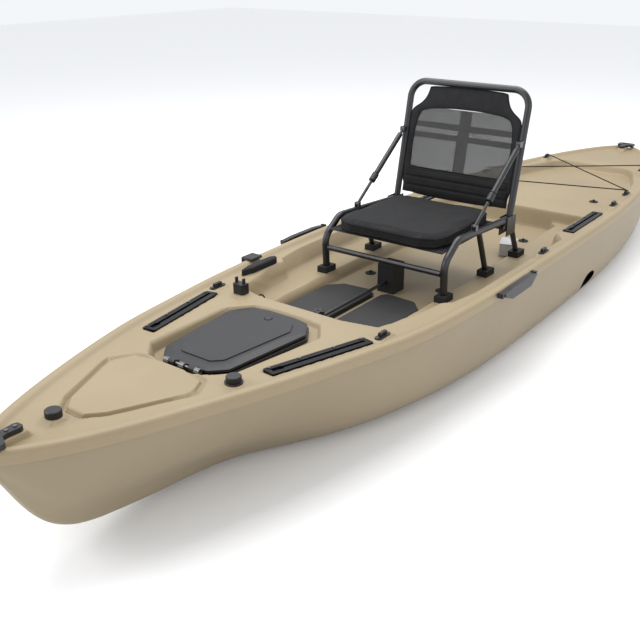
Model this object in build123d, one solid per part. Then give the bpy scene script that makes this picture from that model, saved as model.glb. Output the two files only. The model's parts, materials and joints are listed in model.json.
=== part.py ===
from build123d import *
from functools import cache
import math
import os

# Sit-on-top fishing kayak with a raised folding seat.
# Frame: +X towards the stern, -Y port, +Z up, origin under the middle of the hull at the keel.
# All sizes are millimetres.

# ---------------------------------------------------------------- hull
HALF_LENGTH = 2060.0        # bow tip to the middle; the hull is twice this long
HALF_BEAM = 430.0           # half breadth of the hull at the sheer, amidships
SHEER_HEIGHT = 306.0        # height of the hull and deck seam amidships
SKIN = 5.0                  # wall of both shells
SEAM_GAP = 0.3              # clearance between the widest hull line and the deck skirt
HULL_INSET = 4.6            # the hull edge stands this much further in, clear of the skirt
SKIRT_DROP = 26.0           # how far the deck skirt hangs outside the hull
CREST_RISE = 10.0           # gunwale crest above the seam
DECK_RISE = -3.0            # flat of the deck below the seam
KEEL_SINK = 1.5             # keel line below the flat that the hull rests on

# one row per station: position along the half length, half breadth as a share of HALF_BEAM,
# seam rise above SHEER_HEIGHT, keel rise above the flat, flat of the bottom as a share of breadth,
# fullness of the section: 0 is a vee, 1 and more is a flat bottom with a firm bilge
STATIONS = [
    (-0.999, 0.035, 45.0, 322.0, 0.30, 0.20),
    (-0.985, 0.100, 44.0, 265.0, 0.26, 0.15),
    (-0.968, 0.160, 43.0, 194.0, 0.22, 0.12),
    (-0.946, 0.225, 42.0, 120.0, 0.20, 0.10),
    (-0.915, 0.300, 40.0, 68.0, 0.20, 0.10),
    (-0.860, 0.410, 37.0, 36.0, 0.22, 0.05),
    (-0.780, 0.545, 33.0, 15.0, 0.28, 0.00),
    (-0.680, 0.690, 26.0, 3.0, 0.34, 0.15),
    (-0.570, 0.810, 15.0, -KEEL_SINK, 0.40, 0.75),
    (-0.440, 0.925, 4.0, -KEEL_SINK, 0.44, 1.10),
    (-0.280, 0.985, 0.0, -KEEL_SINK, 0.48, 1.30),
    (-0.080, 1.000, -2.0, -KEEL_SINK, 0.50, 1.40),
    (0.120, 1.000, -8.0, -KEEL_SINK, 0.50, 1.47),
    (0.320, 0.975, -16.0, -KEEL_SINK, 0.46, 1.50),
    (0.500, 0.900, -24.0, 1.0, 0.40, 1.50),
    (0.660, 0.770, -30.0, 12.0, 0.34, 1.50),
    (0.800, 0.590, -32.0, 36.0, 0.28, 1.45),
    (0.900, 0.400, -32.0, 80.0, 0.24, 1.42),
    (0.960, 0.235, -31.0, 140.0, 0.24, 1.40),
    (0.999, 0.050, -30.0, 232.0, 0.30, 1.40),
]

# ---------------------------------------------------------------- deck wells
WELL_FLOOR = 204.0          # foot well and seat bay floor
LEDGE_FLOOR = 240.0         # side ledges that carry the seat feet
TANK_FLOOR = 232.0          # rear tank well floor
HATCH_FLOOR = 296.0         # recess that the bow hatch sits in
GROOVE_DEPTH = 9.0
GROOVE_WIDTH = 13.0

PANEL_FRONT_X = -1815.0
PANEL_REAR_X = -1525.0
PANEL_FRONT_HALF = 52.0
PANEL_REAR_HALF = 150.0

HATCH_FRONT_X = -1462.0     # lid outline
HATCH_REAR_X = -1062.0
HATCH_FRONT_HALF = 118.0
HATCH_REAR_HALF = 146.0
HATCH_MARGIN = 34.0         # recess beyond the lid
HATCH_RIM = 30.0            # lid overlap on the coaming
LID_THICK = 14.0
FRAME_THICK = 13.0
GASKET_THICK = 4.0
GASKET_WIDTH = 9.0

COCKPIT_FRONT_X = -968.0
COCKPIT_REAR_X = 535.0
TANK_FRONT_X = 552.0
TANK_REAR_X = 1560.0
BOW_SPLIT_X = -985.0         # cross planes between the bow, cockpit and stern parts of the deck
STERN_SPLIT_X = 543.5
SPLIT_GAP = 0.3

SCUPPER_HOLE_R = 15.0
SCUPPER_WALL = 4.0
SCUPPERS = [(-360.0, 150.0), (330.0, 150.0), (980.0, 205.0)]

# ---------------------------------------------------------------- deck fittings
TRACK_LENGTH = 350.0
TRACK_WIDTH = 44.0
TRACK_THICK = 9.0
TRACK_SLOT = 9.0
TRACK_CHANNEL = 17.0
FRONT_TRACK_X = -1218.0
FRONT_TRACK_Y = 260.0
FRONT_TRACK_TURN = 13.2
REAR_TRACK_X = 455.0
REAR_TRACK_Y = 348.0
REAR_TRACK_TURN = -1.0

CAP_X = -1870.0
CAP_R = 20.0
CAP_HEIGHT = 17.0
CAP_BOSS = 10.0
CAP_BORE = 10.0
KNOB_X = -1487.0
KNOB_Y = -196.0
KNOB_R = 20.0
KNOB_HEIGHT = 19.0

EYE_LENGTH = 62.0
EYE_WIDTH = 22.0
EYE_RISE = 15.0
CORD_D = 5.0
FIT = 0.3                   # clearance between neighbouring pieces
SCREW_HEAD_R = 4.5
SCREW_HEAD_H = 2.4
PIN_GAP = 0.08              # radial clearance of a running pin

# ---------------------------------------------------------------- seat
SEAT_HALF = 242.0           # side tubes from the middle
TUBE_D = 25.0
RAIL_FRONT_Z = 432.0        # side rail, front and rear
RAIL_REAR_Z = 410.0
RAIL_FRONT_X = -435.0
RAIL_REAR_X = -64.0
FRONT_FOOT_X = -512.0
MIDDLE_FOOT_X = -205.0
REAR_FOOT_X = 52.0
FOOT_HEIGHT = 22.0
LEG_R = 10.0
CROSSBAR_Z = 333.0
CROSSBAR_D = 20.0
REAR_BAR_X = -104.0
REAR_BAR_R = 8.0
CUSHION_FRONT_X = -535.0
CUSHION_REAR_X = -85.0
CUSHION_HALF = 226.0
CUSHION_LOW = 403.0
CUSHION_THICK = 44.0
SLING_THICK = 3.0
HOOP_PIVOT_X = -42.0
HOOP_PIVOT_Z = 408.0
HOOP_LEAN = 11.5            # degrees aft of upright
HOOP_HEIGHT = 455.0         # middle of the top bar above the pivot
HOOP_D = 25.0
HOOP_CORNER = 62.0
MESH_LOW = 128.0
MESH_HIGH = 345.0
STRUT_FOOT_X = -318.0
STRUT_TOP = 268.0           # along the hoop, from its pivot
STRUT_STAND = 24.0          # strut eye in front of the hoop tube's middle
STRUT_ROD_D = 12.0
STRUT_SLEEVE_D = 20.0
STRUT_SPLIT = 0.40          # share of the strut length where the sleeve starts


def export(shape, name):
    export_step(shape, f"parts/{name}.step")


def curve_at(column, share):
    """Value of one station column at a share of the half length, on a smooth line."""
    rows = STATIONS
    share = min(max(share, rows[0][0]), rows[-1][0])
    index = max(i for i in range(len(rows) - 1) if rows[i][0] <= share)
    low = rows[index]
    high = rows[index + 1]
    before = rows[max(index - 1, 0)]
    after = rows[min(index + 2, len(rows) - 1)]
    span = high[0] - low[0]
    t = (share - low[0]) / span
    left = (high[column] - before[column]) / (high[0] - before[0]) * span
    right = (after[column] - low[column]) / (after[0] - low[0]) * span
    square = t * t
    cube = square * t
    return ((2 * cube - 3 * square + 1) * low[column] + (cube - 2 * square + t) * left
            + (3 * square - 2 * cube) * high[column] + (cube - square) * right)


def half_breadth(x):
    return curve_at(1, x / HALF_LENGTH) * HALF_BEAM


def seam_height(x):
    return SHEER_HEIGHT + curve_at(2, x / HALF_LENGTH)


def deck_height(x):
    return seam_height(x) + DECK_RISE


def hull_section(row, shrink, top_extra):
    """Closed section of the hull at one station, shrunk inwards by the wall."""
    share, breadth, rise, keel, flat, full = row
    x = share * HALF_LENGTH
    half = breadth * HALF_BEAM - HULL_INSET - shrink
    top = SHEER_HEIGHT + rise
    low = min(keel + shrink, top - 4.0)
    height = top - low
    flat_half = max(min(full, 1.0) * flat * breadth * HALF_BEAM - 0.6 * shrink, 2.0)
    bilge = (half * min(0.34 + 0.40 * full, 0.90), max(0.20 - 0.11 * full, 0.055))
    turn = (half * min(0.62 + 0.27 * full, 0.972), 0.42 - 0.12 * full)
    topside = (half * min(0.88 + 0.08 * full, 0.992), 0.74 - 0.10 * full)
    side = [(flat_half, 0.0), bilge, turn, topside, (half, 1.0)]
    starboard = [Vector(x, y, low + height * t) for y, t in side]
    port = [Vector(x, -y, low + height * t) for y, t in reversed(side)]
    edges = [Edge.make_spline(starboard, tangents=[Vector(0, 1, 0.0), Vector(0, 0.10, 1)])]
    if top_extra > 0:
        lifted = [Vector(x, half, top + top_extra), Vector(x, -half, top + top_extra)]
        edges.append(Edge.make_line(starboard[-1], lifted[0]))
        edges.append(Edge.make_line(lifted[0], lifted[1]))
        edges.append(Edge.make_line(lifted[1], port[0]))
    else:
        edges.append(Edge.make_line(starboard[-1], port[0]))
    edges.append(Edge.make_spline(port, tangents=[Vector(0, 0.10, -1), Vector(0, 1, 0.0)]))
    edges.append(Edge.make_line(port[-1], starboard[0]))
    return Wire(edges)


def deck_section(row, shrink, bottom):
    """Closed section of the deck: skirt, rounded gunwale crest and the flat between."""
    share, breadth, rise, keel, flat, full = row
    x = share * HALF_LENGTH
    hull_half = breadth * HALF_BEAM
    half = hull_half + SEAM_GAP + SKIN - shrink
    seam = SHEER_HEIGHT + rise
    low = bottom if bottom is not None else seam - SKIRT_DROP - (1.0 if shrink else 0.0)
    crest_in = min(18.0, 0.30 * half)
    flat_in = min(52.0, 0.60 * half)
    top = seam + CREST_RISE - shrink
    flat_top = seam + DECK_RISE - shrink
    shoulder = seam + (0.4 if shrink else 1.0)
    side = [(half, low), (half, shoulder), (half - 0.35 * crest_in, top - 2.5),
            (half - crest_in, top), (half - flat_in, flat_top)]
    points = [Vector(x, y, z) for y, z in side]
    mirror_points = [Vector(x, -y, z) for y, z in reversed(side)]
    return Wire.make_polygon(points + mirror_points, close=True)


def loft_stations(section, rows):
    """Smooth skin through the sections of the rows."""
    return Solid.make_loft([section(row) for row in rows], ruled=False)


def block(x0, x1, y0, y1, z0, z1):
    size = Box(x1 - x0, y1 - y0, z1 - z0)
    return size.moved(Location(((x0 + x1) / 2, (y0 + y1) / 2, (z0 + z1) / 2)))


def corner_cut(before, corner, after, round_r):
    """Where a rounded corner leaves its two runs, and the middle of its arc."""
    into = Vector(corner[0] - before[0], corner[1] - before[1])
    out = Vector(after[0] - corner[0], after[1] - corner[1])
    turn = math.radians(into.get_angle(out))
    reach = min(round_r * math.tan(turn / 2), 0.45 * into.length, 0.45 * out.length)
    start = Vector(*corner) - into.normalized() * reach
    end = Vector(*corner) + out.normalized() * reach
    chord = (start + end) / 2
    depth = (Vector(*corner) - chord).length
    sag = reach * math.tan(turn / 4) if turn > 1e-6 else 0.0
    middle = chord + (Vector(*corner) - chord).normalized() * (sag * math.cos(turn / 2)) if depth > 1e-6 else chord
    return start, middle, end


def rounded_wire(points, z, round_r):
    """Closed outline at a height, its corners rounded as far as their runs allow."""
    count = len(points)
    if round_r <= 0:
        return Wire.make_polygon([Vector(x, y, z) for x, y in points], close=True)
    cuts = [corner_cut(points[i - 1], points[i], points[(i + 1) % count], round_r) for i in range(count)]
    lift = Vector(0, 0, z)
    edges = []
    for index in range(count):
        start, middle, end = cuts[index]
        if (middle - (start + end) / 2).length > 0.02:
            edges.append(Edge.make_three_point_arc(start + lift, middle + lift, end + lift))
        elif (end - start).length > 0.001:
            edges.append(Edge.make_line(start + lift, end + lift))
        edges.append(Edge.make_line(end + lift, cuts[(index + 1) % count][0] + lift))
    return Wire(edges)


def prism(points, low, high, round_r=0.0):
    """Upright prism over an outline of (x, y) corners."""
    return Solid.extrude(Face(rounded_wire(points, low, round_r)), Vector(0, 0, high - low))


def mirrored(points):
    """Outline of starboard points and their port mirror images."""
    return points + [(x, -y) for x, y in reversed(points)]


def cylinder_between(start, end, radius):
    start = Vector(*start)
    end = Vector(*end)
    plane = Plane(origin=start, z_dir=(end - start).normalized())
    return Solid.make_cylinder(radius, (end - start).length, plane)


def tube_along(points, radii, radius):
    """Round bar along straight runs joined by arcs."""
    path = FilletPolyline(*points, radius=radii) if radii else Polyline(*points)
    start = path @ 0
    direction = path % 0
    profile = Plane(origin=start, z_dir=direction) * Circle(radius)
    return sweep(profile, path=path)


def grown(points, by):
    """Outline moved outwards by a margin, its corners kept sharp."""
    count = len(points)
    area = sum(points[i - 1][0] * points[i][1] - points[i][0] * points[i - 1][1] for i in range(count))
    side = 1.0 if area > 0 else -1.0
    moved = []
    for index in range(count):
        before, corner, after = points[index - 1], points[index], points[(index + 1) % count]
        into = Vector(corner[0] - before[0], corner[1] - before[1]).normalized()
        out = Vector(after[0] - corner[0], after[1] - corner[1]).normalized()
        normal_in = Vector(into.Y, -into.X) * side
        normal_out = Vector(out.Y, -out.X) * side
        bisector = (normal_in + normal_out).normalized()
        reach = by / max(bisector.dot(normal_in), 0.3)
        moved.append((corner[0] + bisector.X * reach, corner[1] + bisector.Y * reach))
    return moved


# ---------------------------------------------------------------- outlines
def panel_outline():
    rear_bulge = 20.0
    return mirrored([(PANEL_FRONT_X, PANEL_FRONT_HALF * 0.55), (PANEL_FRONT_X + 40, PANEL_FRONT_HALF + 12),
                     (PANEL_REAR_X - 60, PANEL_REAR_HALF), (PANEL_REAR_X, PANEL_REAR_HALF - 30),
                     (PANEL_REAR_X + rear_bulge, 40)])


def hatch_outline(margin=0.0):
    corner = 42.0
    return mirrored([(HATCH_FRONT_X - margin, HATCH_FRONT_HALF - corner + margin * 0.6),
                     (HATCH_FRONT_X + corner - margin * 0.6, HATCH_FRONT_HALF + margin),
                     (HATCH_REAR_X - corner - 30 + margin * 0.6, HATCH_REAR_HALF + margin),
                     (HATCH_REAR_X - 10 + margin, HATCH_REAR_HALF - corner + margin * 0.6),
                     (HATCH_REAR_X + margin, 50.0)])


def hatch_recess_outline():
    return hatch_outline(HATCH_MARGIN)


def ledge_outline():
    gunwale = 68.0
    return mirrored([(COCKPIT_FRONT_X, 150.0), (COCKPIT_FRONT_X + 25, 262.0),
                     (-760.0, half_breadth(-760.0) - gunwale - 42), (-664.0, half_breadth(-664.0) - gunwale - 38),
                     (-640.0, half_breadth(-640.0) - gunwale - 14), (-520.0, half_breadth(-520.0) - gunwale),
                     (180.0, half_breadth(180.0) - gunwale), (240.0, REAR_TRACK_Y - TRACK_WIDTH / 2 - 12),
                     (COCKPIT_REAR_X, REAR_TRACK_Y - TRACK_WIDTH / 2 - 14)])


def well_outline():
    return mirrored([(COCKPIT_FRONT_X + 14, 120.0), (COCKPIT_FRONT_X + 60, 196.0), (-780.0, 208.0),
                     (COCKPIT_REAR_X - 30, 208.0), (COCKPIT_REAR_X - 12, 180.0)])


def tank_outline():
    gunwale = 62.0
    return mirrored([(TANK_FRONT_X, half_breadth(TANK_FRONT_X) - gunwale),
                     (1000.0, half_breadth(1000.0) - gunwale), (1300.0, half_breadth(1300.0) - gunwale - 2),
                     (TANK_REAR_X - 60, half_breadth(TANK_REAR_X) - gunwale - 10),
                     (TANK_REAR_X, half_breadth(TANK_REAR_X) - gunwale - 60)])


def deck_wells():
    """Outline, floor and corner radius of each well."""
    return [(hatch_recess_outline(), HATCH_FLOOR, 26.0), (ledge_outline(), LEDGE_FLOOR, 12.0),
            (well_outline(), WELL_FLOOR, 20.0), (tank_outline(), TANK_FLOOR, 22.0)]


def track_places():
    return [(place, side) for place in ("front", "rear") for side in (-1, 1)]


def deck_walls(high):
    """Walls and floors of the wells, beds and groove, before they are trimmed inside the deck's skin."""
    walls = [prism(grown(points, SKIN), floor - SKIN, high, corner + SKIN) for points, floor, corner in deck_wells()]
    walls += [track_bed(place, side, SKIN, SKIN, 0.0) for place, side in track_places()]
    groove = prism(grown(panel_outline(), GROOVE_WIDTH + SKIN), groove_floor() - SKIN, high, 22.0)
    walls.append(groove - prism(grown(panel_outline(), -SKIN), 0, high, 8.0))
    return walls


def deck_cutters(high):
    """Everything that is hollow in the deck."""
    cutters = [prism(points, floor, high, corner) for points, floor, corner in deck_wells()]
    cutters += [track_bed(place, side, 0.0, 0.0, 60.0) for place, side in track_places()]
    groove = prism(grown(panel_outline(), GROOVE_WIDTH), groove_floor(), high, 20.0)
    cutters.append(groove - prism(panel_outline(), 0, high, 14.0))
    cutters.append(prism(hatch_outline(-HATCH_RIM), 250, high, 16.0))
    cutters += [Solid.make_cylinder(SCUPPER_HOLE_R, 400, Plane((x, y, -10))) for x, y in scupper_places()]
    cutters.append(Solid.make_cylinder(CAP_BORE, 60, Plane((CAP_X, 0, deck_height(CAP_X) - 30))))
    return cutters


def deck_bosses():
    """Raised flats for the fittings, the cap's boss and the scupper tubes."""
    bosses = []
    for x, y, length, width, top in flat_bosses():
        boss = block(x - length / 2, x + length / 2, y - width / 2, y + width / 2, deck_height(x) - 7, top)
        bosses.append(boss)
    bosses.append(Solid.make_cylinder(CAP_R + 5, CAP_BOSS + 8, Plane((CAP_X, 0, deck_height(CAP_X) - 8))))
    for x, y in scupper_places():
        bosses.append(Solid.make_cylinder(SCUPPER_HOLE_R + SCUPPER_WALL, scupper_floor(x), Plane((x, y, 0))))
    return bosses


def make_deck():
    """Deck shell with its wells, groove, bosses and scupper tubes."""
    high = SHEER_HEIGHT + 80.0
    outer = loft_stations(lambda row: deck_section(row, 0, None), STATIONS)
    cavity = loft_stations(lambda row: deck_section(row, SKIN, None), STATIONS[1:-1])
    full = loft_stations(lambda row: deck_section(row, 0.4 * SKIN, 60.0), STATIONS[3:-2])
    walls = deck_walls(high)
    trimmed = [wall & full for wall in walls]
    deck = outer - cavity
    for piece in trimmed + deck_bosses():
        deck = deck + piece
    for cutter in deck_cutters(high):
        deck = deck - cutter
    return deck


@cache
def whole_deck():
    return make_deck()


def deck_part(start, end):
    """The deck between two cross planes; it is split where the wells are apart."""
    span = block(start + SPLIT_GAP / 2, end - SPLIT_GAP / 2, -HALF_BEAM * 1.2, HALF_BEAM * 1.2, -50.0, 600.0)
    return whole_deck() & span


def make_hull():
    """Lower shell, flat where it rests, with holes for the scupper tubes."""
    outer = loft_stations(lambda row: hull_section(row, 0, 0), STATIONS)
    cavity = loft_stations(lambda row: hull_section(row, SKIN, 1.0), STATIONS[1:-1])
    cutters = [block(-HALF_LENGTH, HALF_LENGTH, -HALF_BEAM, HALF_BEAM, -20, 0)]
    cutters += [Solid.make_cylinder(SCUPPER_HOLE_R + SCUPPER_WALL + FIT, 60, Plane((x, y, -10)))
                for x, y in scupper_places()]
    for end, inner in ((STATIONS[0], STATIONS[1]), (STATIONS[-1], STATIONS[-2])):
        xs = sorted((end[0] * HALF_LENGTH * 1.01, inner[0] * HALF_LENGTH))
        skirt_low = SHEER_HEIGHT + min(end[2], inner[2]) - SKIRT_DROP - FIT
        cutters.append(block(xs[0] - FIT, xs[1] + FIT, -130, 130, skirt_low, skirt_low + 200))
    return (outer - cavity).cut(*cutters)


def groove_floor():
    return deck_height(PANEL_REAR_X) - GROOVE_DEPTH


def scupper_places():
    return [(x, side * y) for x, y in SCUPPERS for side in (-1, 1)]


def scupper_floor(x):
    return TANK_FLOOR - 1 if x > COCKPIT_REAR_X else WELL_FLOOR - 1


def boss_top(x):
    return deck_height(x) + 4.0


def crest_top(x):
    """Top of a flat moulded level with the gunwale crest."""
    return seam_height(x) + CREST_RISE + 2.6


def eye_seat(x, y):
    """Height that a saddle stands on: the gunwale near the edge, the deck further in."""
    return crest_top(x) if abs(y) > half_breadth(x) - 62 else boss_top(x)


def track_place(place, side):
    """Middle, heading and fall of a gear track's underside."""
    if place == "front":
        x, y, turn = FRONT_TRACK_X, FRONT_TRACK_Y, FRONT_TRACK_TURN
    else:
        x, y, turn = REAR_TRACK_X, REAR_TRACK_Y, REAR_TRACK_TURN
    run = TRACK_LENGTH / 2
    fall = math.degrees(math.atan2(deck_height(x - run) - deck_height(x + run), 2 * run))
    return Location((x, side * y, deck_height(x) - 5.0), (0, fall, side * turn))


def rounded_bar(length, width, low, high, corner):
    face = Face(Wire.make_polygon([Vector(sx * length / 2, sy * width / 2, low)
                                   for sx, sy in ((1, 1), (-1, 1), (-1, -1), (1, -1))], close=True))
    face = face.fillet_2d(corner, face.vertices())
    return Solid.extrude(face, Vector(0, 0, high - low))


def track_bed(place, side, margin, depth, up):
    bar = rounded_bar(TRACK_LENGTH + 4 + 2 * margin, TRACK_WIDTH + 4 + 2 * margin, -depth, 8.0 + up, 6.0 + margin)
    return bar.moved(track_place(place, side))


def make_track(place, side):
    """Accessory track: a bar with a T-shaped slot along its top."""
    bar = rounded_bar(TRACK_LENGTH, TRACK_WIDTH, 0.0, TRACK_THICK, 5.0)
    reach = TRACK_LENGTH / 2 - 14
    bar = bar - block(-reach, reach, -TRACK_SLOT / 2, TRACK_SLOT / 2, TRACK_THICK - 3, TRACK_THICK + 1)
    bar = bar - block(-reach, reach, -TRACK_CHANNEL / 2, TRACK_CHANNEL / 2, 2.5, TRACK_THICK - 3)
    bar = bar - block(-reach, -reach + 34, -TRACK_CHANNEL / 2, TRACK_CHANNEL / 2, 2.5, TRACK_THICK + 1)
    return bar.moved(track_place(place, side))


def make_deck_screws():
    """Every screw head on the deck, one node."""
    handles = make_handle_screws(BOW_TAIL_X, -HALF_LENGTH) + make_handle_screws(STERN_TAIL_X, HALF_LENGTH)
    return Compound(make_track_screws() + make_eye_screws() + handles)


def make_track_screws():
    screws = []
    for place in ("front", "rear"):
        for side in (-1, 1):
            for x in (-160, -60, 60, 160):
                y = 16.0
                head = Solid.make_cylinder(SCREW_HEAD_R, SCREW_HEAD_H, Plane((x, y, TRACK_THICK)))
                screws.append(head.moved(track_place(place, side)))
    return screws


# ---------------------------------------------------------------- bow, stern and deck fittings
def flat_bosses():
    """Flat seats moulded on the deck: middle x, y, length, width, top."""
    bosses = [(KNOB_X, KNOB_Y, 54, 54, boss_top(KNOB_X))]
    bosses += [(x, y, EYE_LENGTH + 8, EYE_WIDTH + 8, eye_seat(x, y)) for x, y in pad_eye_places()]
    bosses.append((CLIP_X, CLIP_Y, 52, 56, boss_top(CLIP_X)))
    bosses.append((GRIP_X, GRIP_Y, GRIP_LENGTH + 6, GRIP_WIDTH + 6, boss_top(GRIP_X)))
    bosses.append((BOW_TAIL_X, 0, 72, 34, crest_top(BOW_TAIL_X)))
    bosses.append((STERN_TAIL_X, 0, 72, 34, crest_top(STERN_TAIL_X)))
    return bosses


CLIP_X = -998.0
CLIP_Y = 222.0
GRIP_X = -782.0
GRIP_Y = 330.0
GRIP_LENGTH = 176.0
GRIP_WIDTH = 30.0
GRIP_RISE = 22.0
BOW_TAIL_X = -1985.0
STERN_TAIL_X = 1975.0
HANDLE_THICK = 12.0


def pad_eye_places():
    front = [(-1003.0, 318.0), (-1003.0, -318.0), (-58.0, -392.0), (-58.0, 392.0)]
    return front + bungee_eye_places()


def bungee_eye_places():
    places = []
    for x in (745.0, 970.0, 1500.0):
        for side in (-1, 1):
            places.append((x, side * (half_breadth(x) - 44.0)))
    return places


def make_pad_eye(x, y):
    """Low saddle with an eye through it, across the hull."""
    top = eye_seat(x, y)
    foot = rounded_bar(EYE_LENGTH, EYE_WIDTH, top, top + 3.5, 9.0)
    arch = block(-16, 16, -5, 5, top + 3.5, top + EYE_RISE)
    hole = cylinder_between((0, -20, top + 8.6), (0, 20, top + 8.6), CORD_D / 2 + 0.8)
    eye = foot + arch - hole
    return eye.moved(Location((x, y, 0)))


def make_eye_screws():
    heads = []
    for x, y in pad_eye_places():
        for step in (-23, 23):
            heads.append(Solid.make_cylinder(3.6, 2.0, Plane((x + step, y, eye_seat(x, y) + 3.5))))
    return heads


def make_bungees():
    """Tight elastic cords laced across the tank well, each between two saddles."""
    eyes = bungee_eye_places()
    laces = [(eyes[1], eyes[2], 0.0), (eyes[2], eyes[5], 0.0), (eyes[3], eyes[4], CORD_D + 1.5)]
    cords = []
    for first, second, lift in laces:
        rise = EYE_RISE + CORD_D / 2 + FIT + lift
        start = Vector(first[0], first[1], eye_seat(*first) + rise)
        end = Vector(second[0], second[1], eye_seat(*second) + rise)
        along = (end - start).normalized() * 9.0
        cords.append(cylinder_between(tuple(start + along), tuple(end - along), CORD_D / 2))
    return Compound(cords)


def make_end_handle(tail_x, tip_x):
    """T-shaped carry handle: a tail screwed down and a cross grip near the tip."""
    low = crest_top(tail_x)
    sign = 1 if tip_x > tail_x else -1
    points = [(tail_x - sign * 32, 9), (tail_x - sign * 22, 14), (tail_x + sign * 8, 11), (tail_x + sign * 22, 14),
              (tail_x + sign * 34, 42), (tip_x - sign * 14, 44), (tip_x - sign * 4, 30)]
    handle = prism(mirrored(points), low, low + HANDLE_THICK, 4.0)
    window = block(-9, 9, -24, 24, low - 1, low + HANDLE_THICK + 1).moved(Location((tip_x - sign * 28, 0, 0)))
    return handle - window


def make_handle_screws(tail_x, tip_x):
    low = crest_top(tail_x) + HANDLE_THICK
    sign = 1 if tip_x > tail_x else -1
    return [Solid.make_cylinder(SCREW_HEAD_R, SCREW_HEAD_H, Plane((tail_x + sign * step, 0, low)))
            for step in (-18, 4)]


def make_round_knob(x, y, low, radius, height, ribs):
    """Knurled round cap or knob."""
    knob = Solid.make_cylinder(radius, height, Plane((x, y, low)))
    top_edges = knob.edges().sort_by(Axis.Z)[-1]
    knob = knob.chamfer(2.0, None, [top_edges])
    for index in range(ribs):
        angle = 2 * math.pi * index / ribs
        rx = x + (radius + 1.2) * math.cos(angle)
        ry = y + (radius + 1.2) * math.sin(angle)
        knob = knob - Solid.make_cylinder(2.0, height + 2, Plane((rx, ry, low - 1)))
    return knob


def make_cap():
    """Screw-down drain cap with its plug in the boss."""
    low = deck_height(CAP_X) + CAP_BOSS
    head = make_round_knob(CAP_X, 0, low + FIT, CAP_R, CAP_HEIGHT, 16)
    stem = Solid.make_cylinder(CAP_BORE - PIN_GAP, 14, Plane((CAP_X, 0, low + FIT - 14)))
    return head + stem


def make_deck_knob():
    return make_round_knob(KNOB_X, KNOB_Y, boss_top(KNOB_X) + 4.0 + FIT, KNOB_R, KNOB_HEIGHT - 4.0, 14)


def make_deck_knob_base():
    return Solid.make_cylinder(KNOB_R + 4, 4.0, Plane((KNOB_X, KNOB_Y, boss_top(KNOB_X))))


# ---------------------------------------------------------------- bow hatch
FRAME_TOP = HATCH_FLOOR + FRAME_THICK
GASKET_TOP = FRAME_TOP + GASKET_THICK
LID_LOW = GASKET_TOP + FIT
HINGE_X = HATCH_FRONT_X - 10.0
HINGE_Z = LID_LOW + 5.0
HINGE_BAR_R = 3.5
HINGE_KNUCKLE_R = 8.0
HINGE_HALF = 58.0


def make_hatch_frame():
    """Coaming ring screwed in the recess."""
    frame = prism(hatch_outline(4.0), HATCH_FLOOR, FRAME_TOP, 20.0)
    return frame - prism(hatch_outline(-HATCH_RIM), HATCH_FLOOR - 1, FRAME_TOP + 1, 14.0)


def make_hatch_gasket():
    outer = prism(hatch_outline(-12.0), FRAME_TOP, GASKET_TOP, 18.0)
    return outer - prism(hatch_outline(-12.0 - GASKET_WIDTH), FRAME_TOP - 1, GASKET_TOP + 1, 14.0)


def knuckle(y0, y1):
    return cylinder_between((HINGE_X, y0, HINGE_Z), (HINGE_X, y1, HINGE_Z), HINGE_KNUCKLE_R)


def make_hatch_lid():
    """Lid with a sloping border, a raised middle and two hinge knuckles."""
    border = 26.0
    body = prism(hatch_outline(0.0), LID_LOW, LID_LOW + 7.0, 22.0)
    slope = Solid.make_loft([rounded_wire(hatch_outline(0.0), LID_LOW + 7.0, 22.0),
                             rounded_wire(hatch_outline(-border), LID_LOW + LID_THICK - 2, 18.0)], ruled=True)
    lid = body + slope
    for y in (-36, 36):
        arm = block(HINGE_X, HATCH_FRONT_X + 6, y - 10, y + 10, HINGE_Z - 4, HINGE_Z + 4)
        lid = lid + knuckle(y - 10, y + 10) + arm
    lid = lid - Solid.make_cylinder(BUTTON_R + FIT, 40, Plane((BUTTON_X, 0, button_floor())))
    return lid - cylinder_between((HINGE_X, -80, HINGE_Z), (HINGE_X, 80, HINGE_Z), HINGE_BAR_R + PIN_GAP)


def make_hatch_mat():
    """Textured mat let on to the middle of the lid."""
    low = LID_LOW + LID_THICK - 2
    mat = prism(hatch_outline(-38.0), low, low + 3.0, 16.0)
    return mat - Solid.make_cylinder(BUTTON_R + 1.5, 40, Plane((BUTTON_X, 0, low - 10)))


def make_hinge_bar():
    return cylinder_between((HINGE_X, -HINGE_HALF, HINGE_Z), (HINGE_X, HINGE_HALF, HINGE_Z), HINGE_BAR_R)


def make_hinge_blocks():
    """Fixed knuckles that carry the hinge bar, standing in the recess."""
    blocks = []
    for y in (-56, 0, 56):
        foot = block(HINGE_X - 9, HINGE_X + 5, y - 9, y + 9, HATCH_FLOOR, HINGE_Z)
        piece = foot - prism(hatch_outline(4.0 + FIT), 0, 400, 20.0)
        piece = piece + knuckle(y - 9, y + 9)
        piece = piece - cylinder_between((HINGE_X, -80, HINGE_Z), (HINGE_X, 80, HINGE_Z), HINGE_BAR_R)
        blocks.append(piece)
    return blocks


BUTTON_X = HATCH_REAR_X - 62.0
BUTTON_R = 11.0
BUTTON_TRAVEL = 3.0


def button_floor():
    return LID_LOW + 3.0


def make_hatch_button():
    """Push button of the hatch catch, standing a little proud of the mat."""
    low = button_floor() + BUTTON_TRAVEL + FIT
    button = Solid.make_cylinder(BUTTON_R, LID_LOW + LID_THICK + 2.5 - low, Plane((BUTTON_X, 0, low)))
    return button.chamfer(1.0, None, [button.edges().sort_by(Axis.Z)[-1]])


# ---------------------------------------------------------------- gunwale fittings
SADDLE_X = -738.0
SIDE_HANDLE_X = -385.0
SIDE_HANDLE_LENGTH = 236.0
SIDE_HANDLE_DEEP = 30.0
SIDE_HANDLE_THICK = 20.0
SIDE_PIN_R = 3.0


def skirt_half(x):
    """Outer face of the deck skirt."""
    return half_breadth(x) + SEAM_GAP + SKIN


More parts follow.
